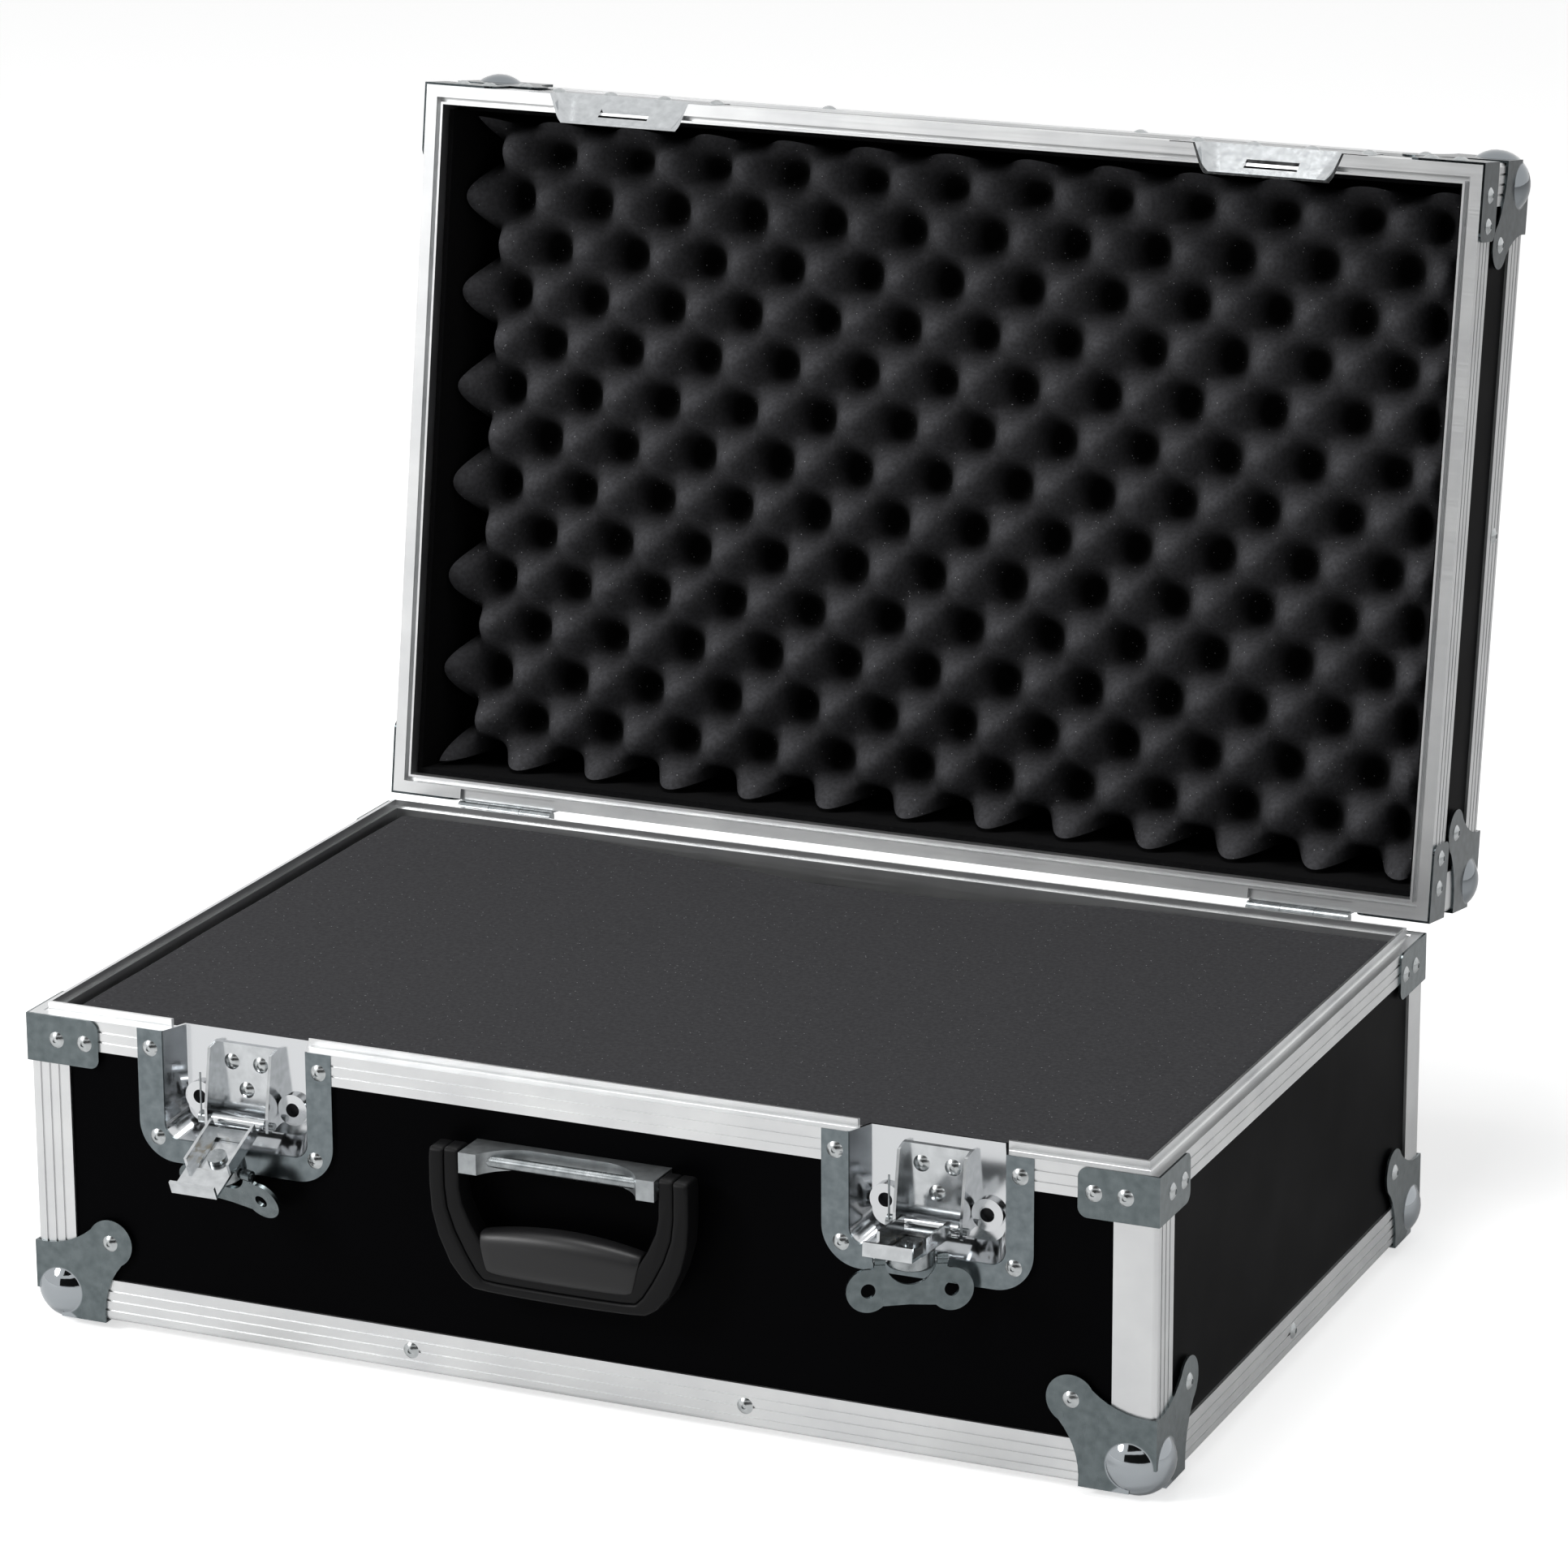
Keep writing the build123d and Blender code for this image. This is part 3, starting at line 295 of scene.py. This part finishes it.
def plated_steel(name, dark, light, roughness, cloud_mm=5.0, painted_reflection_and_stain=None):
    """Plating; the last argument gives (share, colour, roughness) for a patch: a painted reflection on
    balls and bowls, a grease stain on the claws.
    """
    material, tree, shader = new_finish(name, light, 1.0, roughness)
    cloud = grain(tree, cloud_mm, 4.0)
    tone = ramp(tree, cloud.outputs["Fac"], [(0.3, dark), (0.7, light)]).outputs["Color"]
    rub = grain(tree, 2.5, 3.0, (1.0, 1.0, 0.15))
    gloss = span(tree, rub.outputs["Fac"], roughness - 0.05, roughness + 0.08).outputs["Result"]
    # Painted reflection: on balls and bowls the patch's brighter colour stands in for what the metal
    # mirrors; on the claws it is a real grease stain.
    if painted_reflection_and_stain:
        share = painted_reflection_and_stain[0](tree)
        tone = mix_colour(tree, share, tone, painted_reflection_and_stain[1])
        blend = add_node(tree, "ShaderNodeMix", {3: painted_reflection_and_stain[2]}, {0: share, 2: gloss})
        gloss = blend.outputs[0]
    tree.links.new(tone, shader.inputs["Base Color"])
    tree.links.new(gloss, shader.inputs["Roughness"])
    bump(tree, shader, rub.outputs["Fac"], 0.03, 0.04)
    return material


def on_ball(height_mm, swing):
    """Share that is 1 on the four balls at a height on the closed case, swung with its tray."""
    def share(tree):
        place = add_node(tree, "ShaderNodeTexCoord")
        turn = Matrix.Rotation(swing, 4, "X")
        move = hinge_place - turn @ hinge_place
        closed = add_node(tree, "ShaderNodeMapping", {"Rotation": (swing, 0, 0), "Location": move},
                          {"Vector": place.outputs["Object"]})
        mirrored = add_node(tree, "ShaderNodeVectorMath", {"operation": "ABSOLUTE"},
                            {0: closed.outputs["Vector"]})
        centre = Vector((half_length - ball_inset, half_depth - ball_inset, height_mm)) * MM
        away = add_node(tree, "ShaderNodeVectorMath", {"operation": "DISTANCE", 1: centre},
                        {0: mirrored.outputs["Vector"]})
        edge = add_node(tree, "ShaderNodeMapRange",
                        {"From Min": (ball_radius + 0.05) * MM, "From Max": (ball_radius + 0.6) * MM,
                         "To Min": 1.0, "To Max": 0.0},
                        {"Value": away.outputs["Value"]})
        return edge.outputs["Result"]
    return share


def in_bowl(tree):
    """Share that is 1 behind the latch dish's flange."""
    place = add_node(tree, "ShaderNodeTexCoord")
    axes = add_node(tree, "ShaderNodeSeparateXYZ", links={0: place.outputs["Object"]})
    edge = add_node(tree, "ShaderNodeMapRange",
                    {"From Min": (flange_back - 0.5) * MM, "From Max": flange_back * MM},
                    {"Value": axes.outputs["Y"]})
    return edge.outputs["Result"]


# Painted shade: the flat plates' dark grey stands in for the dark that the plating reflects.
corner_steel = plated_steel("zinc plated steel", "#5d6567", "#6f7779", 0.24)
# Painted reflection: the base balls are painted brighter than the plates round them.
base_corner_steel = plated_steel("zinc plated corner", "#5d6567", "#6f7779", 0.24,
                                 painted_reflection_and_stain=(on_ball(base_ball_z, 0.0), "#a2a7ab", 0.07))
# Painted shade: the lid's corners and braces are a darker copy of the same plating, with a dimmer painted
# reflection on the balls.
shaded_lid_corner_steel = plated_steel("zinc plated lid corner", "#3f4648", "#596063", 0.16,
                                painted_reflection_and_stain=(on_ball(lid_ball_z, lid_swing), "#8b9094", 0.06))
# Painted reflection in the bowl, brighter than the flange's dark grey, which is painted shade.
dish_steel = plated_steel("nickel plated dish", "#656d70", "#798184", 0.22,
                          painted_reflection_and_stain=(in_bowl, "#cfd1d3", 0.12))
bright_steel = plated_steel("nickel plated pressing", "#b9bcbe", "#cdd0d2", 0.13)
strap_steel = plated_steel("satin plated strap", "#95999b", "#a9adaf", 0.40)
rivet_steel = plated_steel("plated rivet", "#a9adae", "#c2c5c6", 0.20, 4.0)
dark_steel = plated_steel("plated turned steel", "#7a7f81", "#a3a7a9", 0.24, 5.0)


# %% Greased claws
def greased_claw(name, rotor_place):
    """Bright plating with old brown grease round the rotor."""
    def smear(tree):
        place = add_node(tree, "ShaderNodeTexCoord")
        away = add_node(tree, "ShaderNodeVectorMath", {"operation": "DISTANCE", 1: rotor_place},
                        {0: place.outputs["Object"]})
        near = add_node(tree, "ShaderNodeMapRange",
                        {"From Min": 6.5 * MM, "From Max": 12.5 * MM, "To Min": 1.0, "To Max": 0.0},
                        {"Value": away.outputs["Value"]})
        blot = grain(tree, 3.5, 4.0)
        patch = add_node(tree, "ShaderNodeMapRange", {"From Min": 0.46, "From Max": 0.58},
                         {"Value": blot.outputs["Fac"]})
        both = add_node(tree, "ShaderNodeMath", {"operation": "MULTIPLY"},
                        {0: near.outputs["Result"], 1: patch.outputs["Result"]})
        return both.outputs["Value"]
    return plated_steel(name, "#b9bcbe", "#cdd0d2", 0.13, painted_reflection_and_stain=(smear, "#7d6a3c", 0.3))


greased = {}
for side in ("left", "right"):
    rotor_place = Vector(joints[f"wing_turn_{side}"]["pos_m"])
    greased[f"latch_claw_{side}"] = greased_claw(f"greased claw {side}", rotor_place)

# %% [markdown]
# ## Moulded plastic
# The handle is glass-filled nylon, moulded with a fine spark-eroded grain. The grip is the
# same black, a little softer.

# %% Handle plastic
def moulded(name, base, roughness, grain_mm, mirror):
    material, tree, shader = new_finish(name, base, 0.0, roughness, 1.53)
    shader.inputs["Specular IOR Level"].default_value = mirror
    pebble = grain(tree, grain_mm, 2.0)
    bump(tree, shader, pebble.outputs["Fac"], 0.35, 0.12)
    wear = grain(tree, 25.0, 4.0)
    gloss = span(tree, wear.outputs["Fac"], roughness - 0.06, roughness + 0.08)
    tree.links.new(gloss.outputs["Result"], shader.inputs["Roughness"])
    return material


handle_nylon = moulded("black moulded nylon", "#0d0d0e", 0.44, 0.7, 0.12)
grip_nylon = moulded("black grip plastic", "#1b1b1c", 0.38, 0.6, 0.3)

# %% [markdown]
# ## Open-cell foam
# Polyurethane foam is dull and dark grey. Its cells are about half a millimetre, and here
# and there a cut cell catches the light as a pale fleck. The flecks are drawn at about a
# millimetre, coarser than real, so that they show. Deep in the pits the colour is darkened
# as painted shade, read from an attribute that holds each point's height.

# %% Foam
def open_cell_foam(name, dark, light, fleck, pit_shade=None):
    material, tree, shader = new_finish(name, light, 0.0, 0.95, 1.45)
    shader.inputs["Specular IOR Level"].default_value = 0.1
    cloud = grain(tree, 2.2, 6.0)
    tone = ramp(tree, cloud.outputs["Fac"], [(0.35, dark), (0.65, light)]).outputs["Color"]
    # Painted shade: the pits take a darker colour by height.
    if pit_shade:
        height = add_node(tree, "ShaderNodeAttribute", {"attribute_name": "crate_height"})
        unshaded_share = add_node(tree, "ShaderNodeMapRange", {"From Min": 0.25, "From Max": 0.9},
                              {"Value": height.outputs["Fac"]})
        tone = mix_colour(tree, unshaded_share.outputs["Result"], pit_shade, tone)
    place = add_node(tree, "ShaderNodeTexCoord")
    cells = add_node(tree, "ShaderNodeTexVoronoi", {"Scale": 1 / (2.4 * MM)},
                     {"Vector": place.outputs["Object"]})
    shine = add_node(tree, "ShaderNodeMapRange",
                     {"From Min": 0.10, "From Max": 0.16, "To Min": 1.0, "To Max": 0.0},
                     {"Value": cells.outputs["Distance"]})
    rare = grain(tree, 3.0, 1.0)
    few = add_node(tree, "ShaderNodeMapRange", {"From Min": 0.56, "From Max": 0.62},
                   {"Value": rare.outputs["Fac"]})
    both = add_node(tree, "ShaderNodeMath", {"operation": "MULTIPLY"},
                    {0: shine.outputs["Result"], 1: few.outputs["Result"]})
    tree.links.new(mix_colour(tree, both.outputs["Value"], tone, fleck), shader.inputs["Base Color"])
    pores = grain(tree, 0.9, 2.0)
    bump(tree, shader, pores.outputs["Fac"], 0.6, 0.35)
    return material


base_foam_finish = open_cell_foam("dark grey cut foam", "#38383a", "#414143", "#8f8f92")
# Painted shade: the pits of the convoluted foam are painted near black.
lid_foam_finish = open_cell_foam("dark grey convoluted foam", "#3b3b3d", "#47474a", "#858588", "#050505")
lining_finish = open_cell_foam("black lining foam", "#070708", "#0b0b0c", "#1c1c1d")

# %% [markdown]
# ## Finishes on the CAD parts
# Each CAD node keeps its mesh and takes the finish of what it is made of.

# %% Dress the CAD nodes
finish_by_slot = {
    "laminate": laminate, "edging_aluminium": edging_metal, "rim_aluminium": rim_metal,
    "plated_steel": corner_steel, "rivet_metal": rivet_steel, "latch_plate": bright_steel,
    "turned_steel": dark_steel, "spring_steel": dark_steel, "hinge_steel": dark_steel,
    "bracket_plate": strap_steel, "handle_plastic": handle_nylon, "grip_plastic": grip_nylon,
    "base_foam": base_foam_finish, "lid_foam": lid_foam_finish, "lining": lining_finish,
}


def dress(piece, finish):
    piece.data.materials.clear()
    piece.data.materials.append(finish)


finish_by_node = {
    "base_ball_corners": base_corner_steel, "lid_ball_corners": shaded_lid_corner_steel,
    "lid_rim_braces": shaded_lid_corner_steel, "latch_dish_left": dish_steel, "latch_dish_right": dish_steel,
    "latch_wing_left": corner_steel, "latch_wing_right": corner_steel, **greased,
}
for entry in frame["record"]["subparts"]:
    finish = finish_by_node.get(entry["node"], finish_by_slot[entry["material_slot"]])
    for held in frame["nodes"][entry["node"]].material_slots:
        held.material = finish
print("dressed", len(frame["nodes"]), "CAD nodes")

# %% [markdown]
# ## Convoluted foam in the lid
# Egg-crate foam is cut from a plain slab by pressing it between studded rollers, so one
# face is a lattice of rounded peaks with square pits between them. A fine grid is laid on
# the closed lid's foam, each point is raised or lowered by the product of two cosines, and
# the border is drawn up to the lid's board to close the slab.

# %% Foam sheet helpers
def grid_sheet(name, low, high, cell_mm):
    """A flat grid between two corners in mm at the height low[2]."""
    clear_selection()
    width, depth = high[0] - low[0], high[1] - low[1]
    centre = [(low[0] + high[0]) / 2 * MM, (low[1] + high[1]) / 2 * MM, low[2] * MM]
    bpy.ops.mesh.primitive_grid_add(x_subdivisions=round(width / cell_mm),
                                    y_subdivisions=round(depth / cell_mm), size=1, location=centre)
    sheet = bpy.context.object
    sheet.name = name
    sheet.scale = (width * MM, depth * MM, 1)
    return settle(sheet)


def close_behind(sheet, height_mm):
    """Draw the sheet's border to a flat back at the given height and fill it."""
    hold(sheet)
    bpy.ops.object.mode_set(mode="EDIT")
    bpy.ops.mesh.select_mode(type="EDGE")
    bpy.ops.mesh.select_all(action="DESELECT")
    bpy.ops.mesh.select_non_manifold()
    bpy.ops.mesh.extrude_region_move(TRANSFORM_OT_translate={"value": (0, 0, 0.001)})
    bpy.ops.object.mode_set(mode="OBJECT")
    for vertex in sheet.data.vertices:
        if vertex.select:
            vertex.co.z = height_mm * MM
    bpy.ops.object.mode_set(mode="EDIT")
    bpy.ops.mesh.edge_face_add()
    bpy.ops.mesh.select_all(action="SELECT")
    bpy.ops.mesh.normals_make_consistent(inside=False)
    bpy.ops.object.mode_set(mode="OBJECT")
    return sheet


def ease(value):
    """Smooth step from 0 to 1."""
    value = min(1.0, max(0.0, value))
    return value * value * (3 - 2 * value)


# %% Egg-crate foam
pitch_x, pitch_y = 46.5, 52.6
lid_board = 235.0 - 7.0 - 0.5      # inside of the lid's top board, less half a millimetre
foam_half_x, foam_half_y = 284.5, 179.5
foam_peak = 182.5
peak_height = 33.0
border_reach = 26.0                # how far in from the border the cut edge has shrunk
border_shrink_x, border_shrink_y = 13.0, 8.0
wander = 1.5                       # how far the lattice strays


def crate(x, y):
    """Height share, 0 in the pits to 1 on the peaks."""
    wave = cos(2 * pi * (x - 42.0) / pitch_x) * cos(2 * pi * (y - 128.0) / pitch_y)
    return (0.5 + 0.5 * wave) ** 0.8


cell = 2.2
egg_crate = grid_sheet("convoluted_foam", (-foam_half_x, -foam_half_y, foam_peak),
                       (foam_half_x, foam_half_y, foam_peak), cell)
heights = []
for vertex in egg_crate.data.vertices:
    x, y = vertex.co.x / MM, vertex.co.y / MM
    wobble = noise.noise(Vector((x / 60, y / 60, 3.0)))
    ragged = noise.noise(Vector((x / 17, y / 17, 7.0)))
    share = crate(x + wander * wobble, y + wander * ragged)
    heights.append(share)
    depth = (1 - share) * peak_height + 0.8 * ragged
    shrink_x = (1 - share) * border_shrink_x * ease(1 - (foam_half_x - abs(x)) / border_reach)
    shrink_y = (1 - share) * border_shrink_y * ease(1 - (foam_half_y - abs(y)) / border_reach)
    vertex.co = Vector((x - shrink_x * (1 if x > 0 else -1), y - shrink_y * (1 if y > 0 else -1),
                        foam_peak + depth)) * MM
close_behind(egg_crate, lid_board)
paint = egg_crate.data.attributes.new("crate_height", "FLOAT", "POINT")
for index, item in enumerate(paint.data):
    item.value = heights[index] if index < len(heights) else 0.0
dress(egg_crate, lid_foam_finish)
hold(egg_crate)
bpy.ops.object.shade_smooth_by_angle(angle=radians(60))
swing_open(egg_crate)
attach(egg_crate, "lid")
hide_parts("lid_foam")
print("convoluted foam", len(egg_crate.data.polygons), "faces")

# %% [markdown]
# ## Lining strips
# Thin black foam strips are glued round the lid's walls. Each is a long block with soft
# edges, bowed very slightly where the glue lets go.

# %% Lining
strip_low, strip_high = 166.5, lid_board - 0.5
front_strip_low = 178.0            # the front strip starts above the keepers
wall_x, wall_y, strip = 289.6, 184.6, 3.0
face_x, face_y = wall_x - strip, wall_y - strip
strips = [
    block("lining_front", (-wall_x, -wall_y, front_strip_low), (wall_x, -face_y, strip_high)),
    block("lining_rear", (-wall_x, face_y, strip_low), (wall_x, wall_y, strip_high)),
    block("lining_left", (-wall_x, -face_y, strip_low), (-face_x, face_y, strip_high)),
    block("lining_right", (face_x, -face_y, strip_low), (wall_x, face_y, strip_high)),
]
for piece in strips:
    pick_faces(piece, lambda face: True)
    bpy.ops.mesh.subdivide(number_cuts=12)
    bpy.ops.object.mode_set(mode="OBJECT")
    round_edges(piece, 0.9, 2)
    for vertex in piece.data.vertices:
        place = vertex.co / MM
        wave = 0.35 * noise.noise(Vector((place.x / 40, place.y / 40, place.z / 40)))
        vertex.co.z += wave * MM
clear_selection()
for piece in strips:
    piece.select_set(True)
bpy.context.view_layer.objects.active = strips[0]
bpy.ops.object.join()
lining = strips[0]
lining.name = "lining_strips"
dress(lining, lining_finish)
swing_open(lining)
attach(lining, "lid")
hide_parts("lid_lining")

# %% [markdown]
# ## Foam block in the base
# The base is filled by one block of cut foam. Its top lies just under the rim, its edges
# are softly rounded, and it has pulled away from the rear wall in the middle and a little
# from the left wall. It is squeezed in where the latch dishes stand behind the front wall.

# %% Base foam
block_x, block_y = 289.3, 184.3
block_top, block_floor = 156.3, 7.6
latch_x = 184.5
base_block = grid_sheet("foam_block", (-block_x, -block_y, block_top), (block_x, block_y, block_top),
                        4.0)


def rear_gap(x):
    """How far the block stands off the rear wall, in mm."""
    wide = 11.0 * ease((x + 190) / 190) * ease((140 - x) / 110)
    notch = 3.0 * ease((x + 60) / 30) * ease((60 - x) / 90)
    return 1.0 + wide + notch


def dish_push(x):
    """How far a latch dish pushes the front face in, in mm."""
    near = min(abs(x - latch_x), abs(x + latch_x))
    return 5.4 * ease((50.0 - near) / 8.0)


for vertex in base_block.data.vertices:
    x, y = vertex.co.x / MM, vertex.co.y / MM
    to_rear = ease((y + 184.3 - 300.0) / 68.0)
    to_front = ease((-y - 120.0) / 64.0)
    to_left = ease((-x - 230.0) / 59.0)
    new_x = x + 2.6 * to_left
    new_y = y - rear_gap(x) * to_rear + dish_push(x) * to_front
    edge = min(block_x - abs(x), block_y - abs(y))
    drop = 2.2 * (1 - sqrt(max(0.0, 1 - (1 - min(edge, 4.0) / 4.0) ** 2)))
    sag = 4.0 * to_rear * ease((x + 190) / 150) * ease((150 - x) / 110)
    swell = 0.5 * noise.noise(Vector((x / 70, y / 70, 1.0)))
    vertex.co = Vector((new_x, new_y, block_top - 0.5 - drop - sag + swell)) * MM
close_behind(base_block, block_floor)
dress(base_block, base_foam_finish)
hold(base_block)
bpy.ops.object.shade_smooth_by_angle(angle=radians(50))
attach(base_block, "base")
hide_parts("base_foam")
print("base foam", len(base_block.data.polygons), "faces")

# %% [markdown]
# ## Handle
# The handle is moulded in two shells that meet in a fine seam, one round the outside and
# one round the finger hole. Each is a flat plate with a curved outline: a disc with one
# corner for each point of the outline, whose corners are dragged to their places, extruded
# to its thickness and rounded. The outlines are given for the left half and mirrored.

# %% Handle shells
pivot = Vector(joints["handle_swing"]["pos_m"]) / MM
handle_front, handle_back = pivot.y - 7.0, pivot.y + 7.0
outer_edge = [(-68.5, 7), (-69, 0), (-69, -14), (-68, -27), (-64.5, -40), (-58.5, -53), (-52, -61),
              (-46, -64.8), (-38, -65.5), (-20, -66), (0, -66.2)]
inner_edge = [(-53.2, 7), (-53.2, 0), (-53, -14), (-51.5, -22), (-47, -32), (-41.5, -41), (-37.5, -50),
              (-35.5, -54.6), (-30, -55), (-16, -55), (0, -55)]
seam_edge = [((a + c) / 2, (b + d) / 2) for (a, b), (c, d) in zip(outer_edge, inner_edge)]


def both_halves(edge):
    """A left half's points and their mirror images, from end to end."""
    return edge + [(-x, z) for x, z in edge[-2::-1]]


def shell(name, outline, front, back, round_mm):
    """A plate with the given (x, z) outline in mm from the pivot."""
    clear_selection()
    bpy.ops.mesh.primitive_circle_add(vertices=len(outline), radius=0.05, fill_type="NGON")
    piece = bpy.context.object
    piece.name = name
    for vertex, (x, z) in zip(piece.data.vertices, outline):
        vertex.co = Vector((x, front, z + pivot.z)) * MM
    bpy.ops.object.mode_set(mode="EDIT")
    bpy.ops.mesh.select_all(action="SELECT")
    thickness = (0, (back - front) * MM, 0)
    bpy.ops.mesh.extrude_region_move(TRANSFORM_OT_translate={"value": thickness})
    bpy.ops.mesh.select_all(action="SELECT")
    bpy.ops.mesh.normals_make_consistent(inside=False)
    bpy.ops.object.mode_set(mode="OBJECT")
    return round_edges(piece, round_mm, 4)


outer_band = both_halves(outer_edge) + both_halves(seam_edge)[::-1]
inner_band = both_halves(seam_edge) + both_halves(inner_edge)[::-1]
step_in = 0.6                      # the inner shell lies a little deeper
shells = [
    shell("outer_shell", outer_band, handle_front, handle_back, 1.7),
    shell("inner_shell", inner_band, handle_front + step_in, handle_back - step_in, 1.5),
]
clear_selection()
for piece in shells:
    piece.select_set(True)
bpy.context.view_layer.objects.active = shells[0]
bpy.ops.object.join()
handle_shell = shells[0]
handle_shell.name = "handle_shells"
round_from = 2.0                   # the arms' tops are rounded from here above the pivot
for vertex in handle_shell.data.vertices:
    above = vertex.co.z / MM - pivot.z
    if above > round_from:
        off = min(1.0, abs(vertex.co.y / MM - pivot.y) / 7.2)
        crown = (above - round_from) * sqrt(1 - off * off * 0.85)
        vertex.co.z = (pivot.z + round_from + crown) * MM
dress(handle_shell, handle_nylon)
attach(handle_shell, "handle")
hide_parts("handle_frame")
print("handle shells", len(handle_shell.data.polygons), "faces")

# %% [markdown]
# ## Grip
# The grip is a fat bar that swells in the middle. A cylinder lying along the handle is cut
# into rings, and every ring is pressed from a circle to a rounded box that is deeper and
# taller towards the middle.

# %% Grip bar
grip_half, grip_floor = 43.5, -58.5


def grip_ring(x):
    """Half depth, middle height and half height of the grip at x."""
    swell = 1 - (x / grip_half) ** 2
    top = -35.5 + 4.5 * swell
    return 7.2 + 2.2 * swell, (top + grip_floor) / 2, (top - grip_floor) / 2


clear_selection()
bpy.ops.mesh.primitive_cylinder_add(vertices=40, radius=MM, depth=2 * grip_half * MM,
                                    rotation=(0, pi / 2, 0))
grip = settle(bpy.context.object)
grip.name = "grip_bar"
bpy.ops.object.mode_set(mode="EDIT")
grip_rings = 16
for ring in range(1, grip_rings):
    cut_x = (2 * ring / grip_rings - 1) * grip_half
    bpy.ops.mesh.select_all(action="SELECT")
    bpy.ops.mesh.bisect(plane_co=(cut_x * MM, 0, 0), plane_no=(1, 0, 0))
bpy.ops.object.mode_set(mode="OBJECT")
for vertex in grip.data.vertices:
    x = vertex.co.x / MM
    angle = atan2(vertex.co.z, vertex.co.y)
    depth, middle, height = grip_ring(x)
    press = [abs(v) ** 0.72 * (1 if v > 0 else -1) for v in (cos(angle), sin(angle))]
    lean = 1.0 - 0.06 * (1 - press[1])
    vertex.co = Vector((x * lean, pivot.y + depth * press[0], pivot.z + middle + height * press[1])) * MM
round_edges(grip, 1.2, 3)
dress(grip, grip_nylon)
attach(grip, "handle")
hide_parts("handle_grip")
print("grip", len(grip.data.polygons), "faces")

# %% [markdown]
# ## Light, floor and camera
# Soft light from above and the left, a weak fill, and an even white surround. The floor is
# pale and keeps the shadow. A few dark cards stand out of view, as in a product studio, so
# that polished metal has something dark to show.

# %% World
world = bpy.data.worlds.new("studio")
bpy.context.scene.world = world
world.use_nodes = True
wires = world.node_tree
surround = wires.nodes["Background"]
surround.inputs["Color"].default_value = (1, 1, 1, 1)
ray = add_node(wires, "ShaderNodeLightPath")
seen = add_node(wires, "ShaderNodeMath", {"operation": "MAXIMUM"},
                {0: ray.outputs["Is Camera Ray"], 1: ray.outputs["Is Glossy Ray"]})
shown = add_node(wires, "ShaderNodeMath", {"operation": "MAXIMUM"},
                 {0: seen.outputs["Value"], 1: ray.outputs["Is Transmission Ray"]})
level = span(wires, shown.outputs["Value"], 0.24, 1.0)
wires.links.new(level.outputs["Result"], surround.inputs["Strength"])


# %% Lamps
def lamp(name, place, aim, size, power):
    data = bpy.data.lights.new(name, "AREA")
    data.shape = "DISK"
    data.size = size
    data.energy = power
    piece = bpy.data.objects.new(name, data)
    bpy.context.scene.collection.objects.link(piece)
    piece.location = place
    piece.rotation_euler = (Vector(aim) - Vector(place)).to_track_quat("-Z", "Y").to_euler()
    return piece


lamp("key", (-2.4, -2.4, 2.0), (0, 0, 0.25), 1.0, 72)
lamp("fill", (2.6, -2.2, 1.4), (0, 0, 0.2), 1.2, 6)
lamp("top", (-0.3, -0.3, 3.0), (0, 0, 0.1), 1.4, 42)


# %% Dark cards
def dark_card(name, place, aim, width, height):
    """A black card that only reflections see."""
    clear_selection()
    bpy.ops.mesh.primitive_plane_add(size=1, location=place)
    card = bpy.context.object
    card.name = name
    card.scale = (width, height, 1)
    card.rotation_euler = (Vector(aim) - Vector(place)).to_track_quat("-Z", "Y").to_euler()
    dress(card, card_black)
    card.visible_camera = card.visible_diffuse = card.visible_shadow = False


card_black, tree, shader = new_finish("black card", "#050505", 0.0, 1.0, 1.45)
dark_card("card_front", (0.8, -3.3, 0.9), (0, 0, 0.2), 5.0, 1.5)
dark_card("card_over", (0.6, -2.6, 2.6), (0, 0, 0.2), 3.6, 1.2)
dark_card("card_right", (3.3, -1.2, 1.0), (0, 0, 0.2), 2.0, 1.6)

# %% Floor
clear_selection()
ground = min(cad_box[0][2], 0.0)
bpy.ops.mesh.primitive_plane_add(size=16, location=(0, 0, ground))
floor = bpy.context.object
floor.name = "floor"
floor_paint, tree, shader = new_finish("pale studio floor", "#f4f4f4", 0.0, 0.9, 1.45)
ray = add_node(tree, "ShaderNodeLightPath")
glow = span(tree, ray.outputs["Is Camera Ray"], 0.12, 0.62)
white = add_node(tree, "ShaderNodeEmission", {"Color": (1, 1, 1, 1)},
                 {"Strength": glow.outputs["Result"]})
together = add_node(tree, "ShaderNodeAddShader",
                    links={0: shader.outputs["BSDF"], 1: white.outputs["Emission"]})
seen = add_node(tree, "ShaderNodeMath", {"operation": "MAXIMUM"},
                {0: ray.outputs["Is Camera Ray"], 1: ray.outputs["Is Glossy Ray"]})
shown = add_node(tree, "ShaderNodeMixShader",
                 links={0: seen.outputs["Value"], 1: shader.outputs["BSDF"], 2: together.outputs["Shader"]})
tree.links.new(shown.outputs["Shader"], tree.nodes["Material Output"].inputs["Surface"])
dress(floor, floor_paint)

# %% Camera
scene = bpy.context.scene
camera_data = bpy.data.cameras.new("camera")
camera_data.sensor_width = 36.0
camera_data.lens = 141.42
camera_data.clip_end = 50.0
camera = bpy.data.objects.new("camera", camera_data)
scene.collection.objects.link(camera)
azimuth, elevation, roll = radians(23.894), radians(16.819), -0.00507
target = Vector((25.75, 0.0, 259.95)) * MM
back = Vector((sin(azimuth) * cos(elevation), -cos(azimuth) * cos(elevation), sin(elevation)))
level_right = Vector((cos(azimuth), sin(azimuth), 0.0))
level_up = back.cross(level_right)
right = level_right * cos(roll) + level_up * sin(roll)
up = back.cross(right)
distance = 3.08463
camera.matrix_world = Matrix.Translation(target + back * distance) @ Matrix(
    ((right.x, up.x, back.x), (right.y, up.y, back.y), (right.z, up.z, back.z))).to_4x4()
scene.camera = camera
scene.view_settings.view_transform = "Standard"
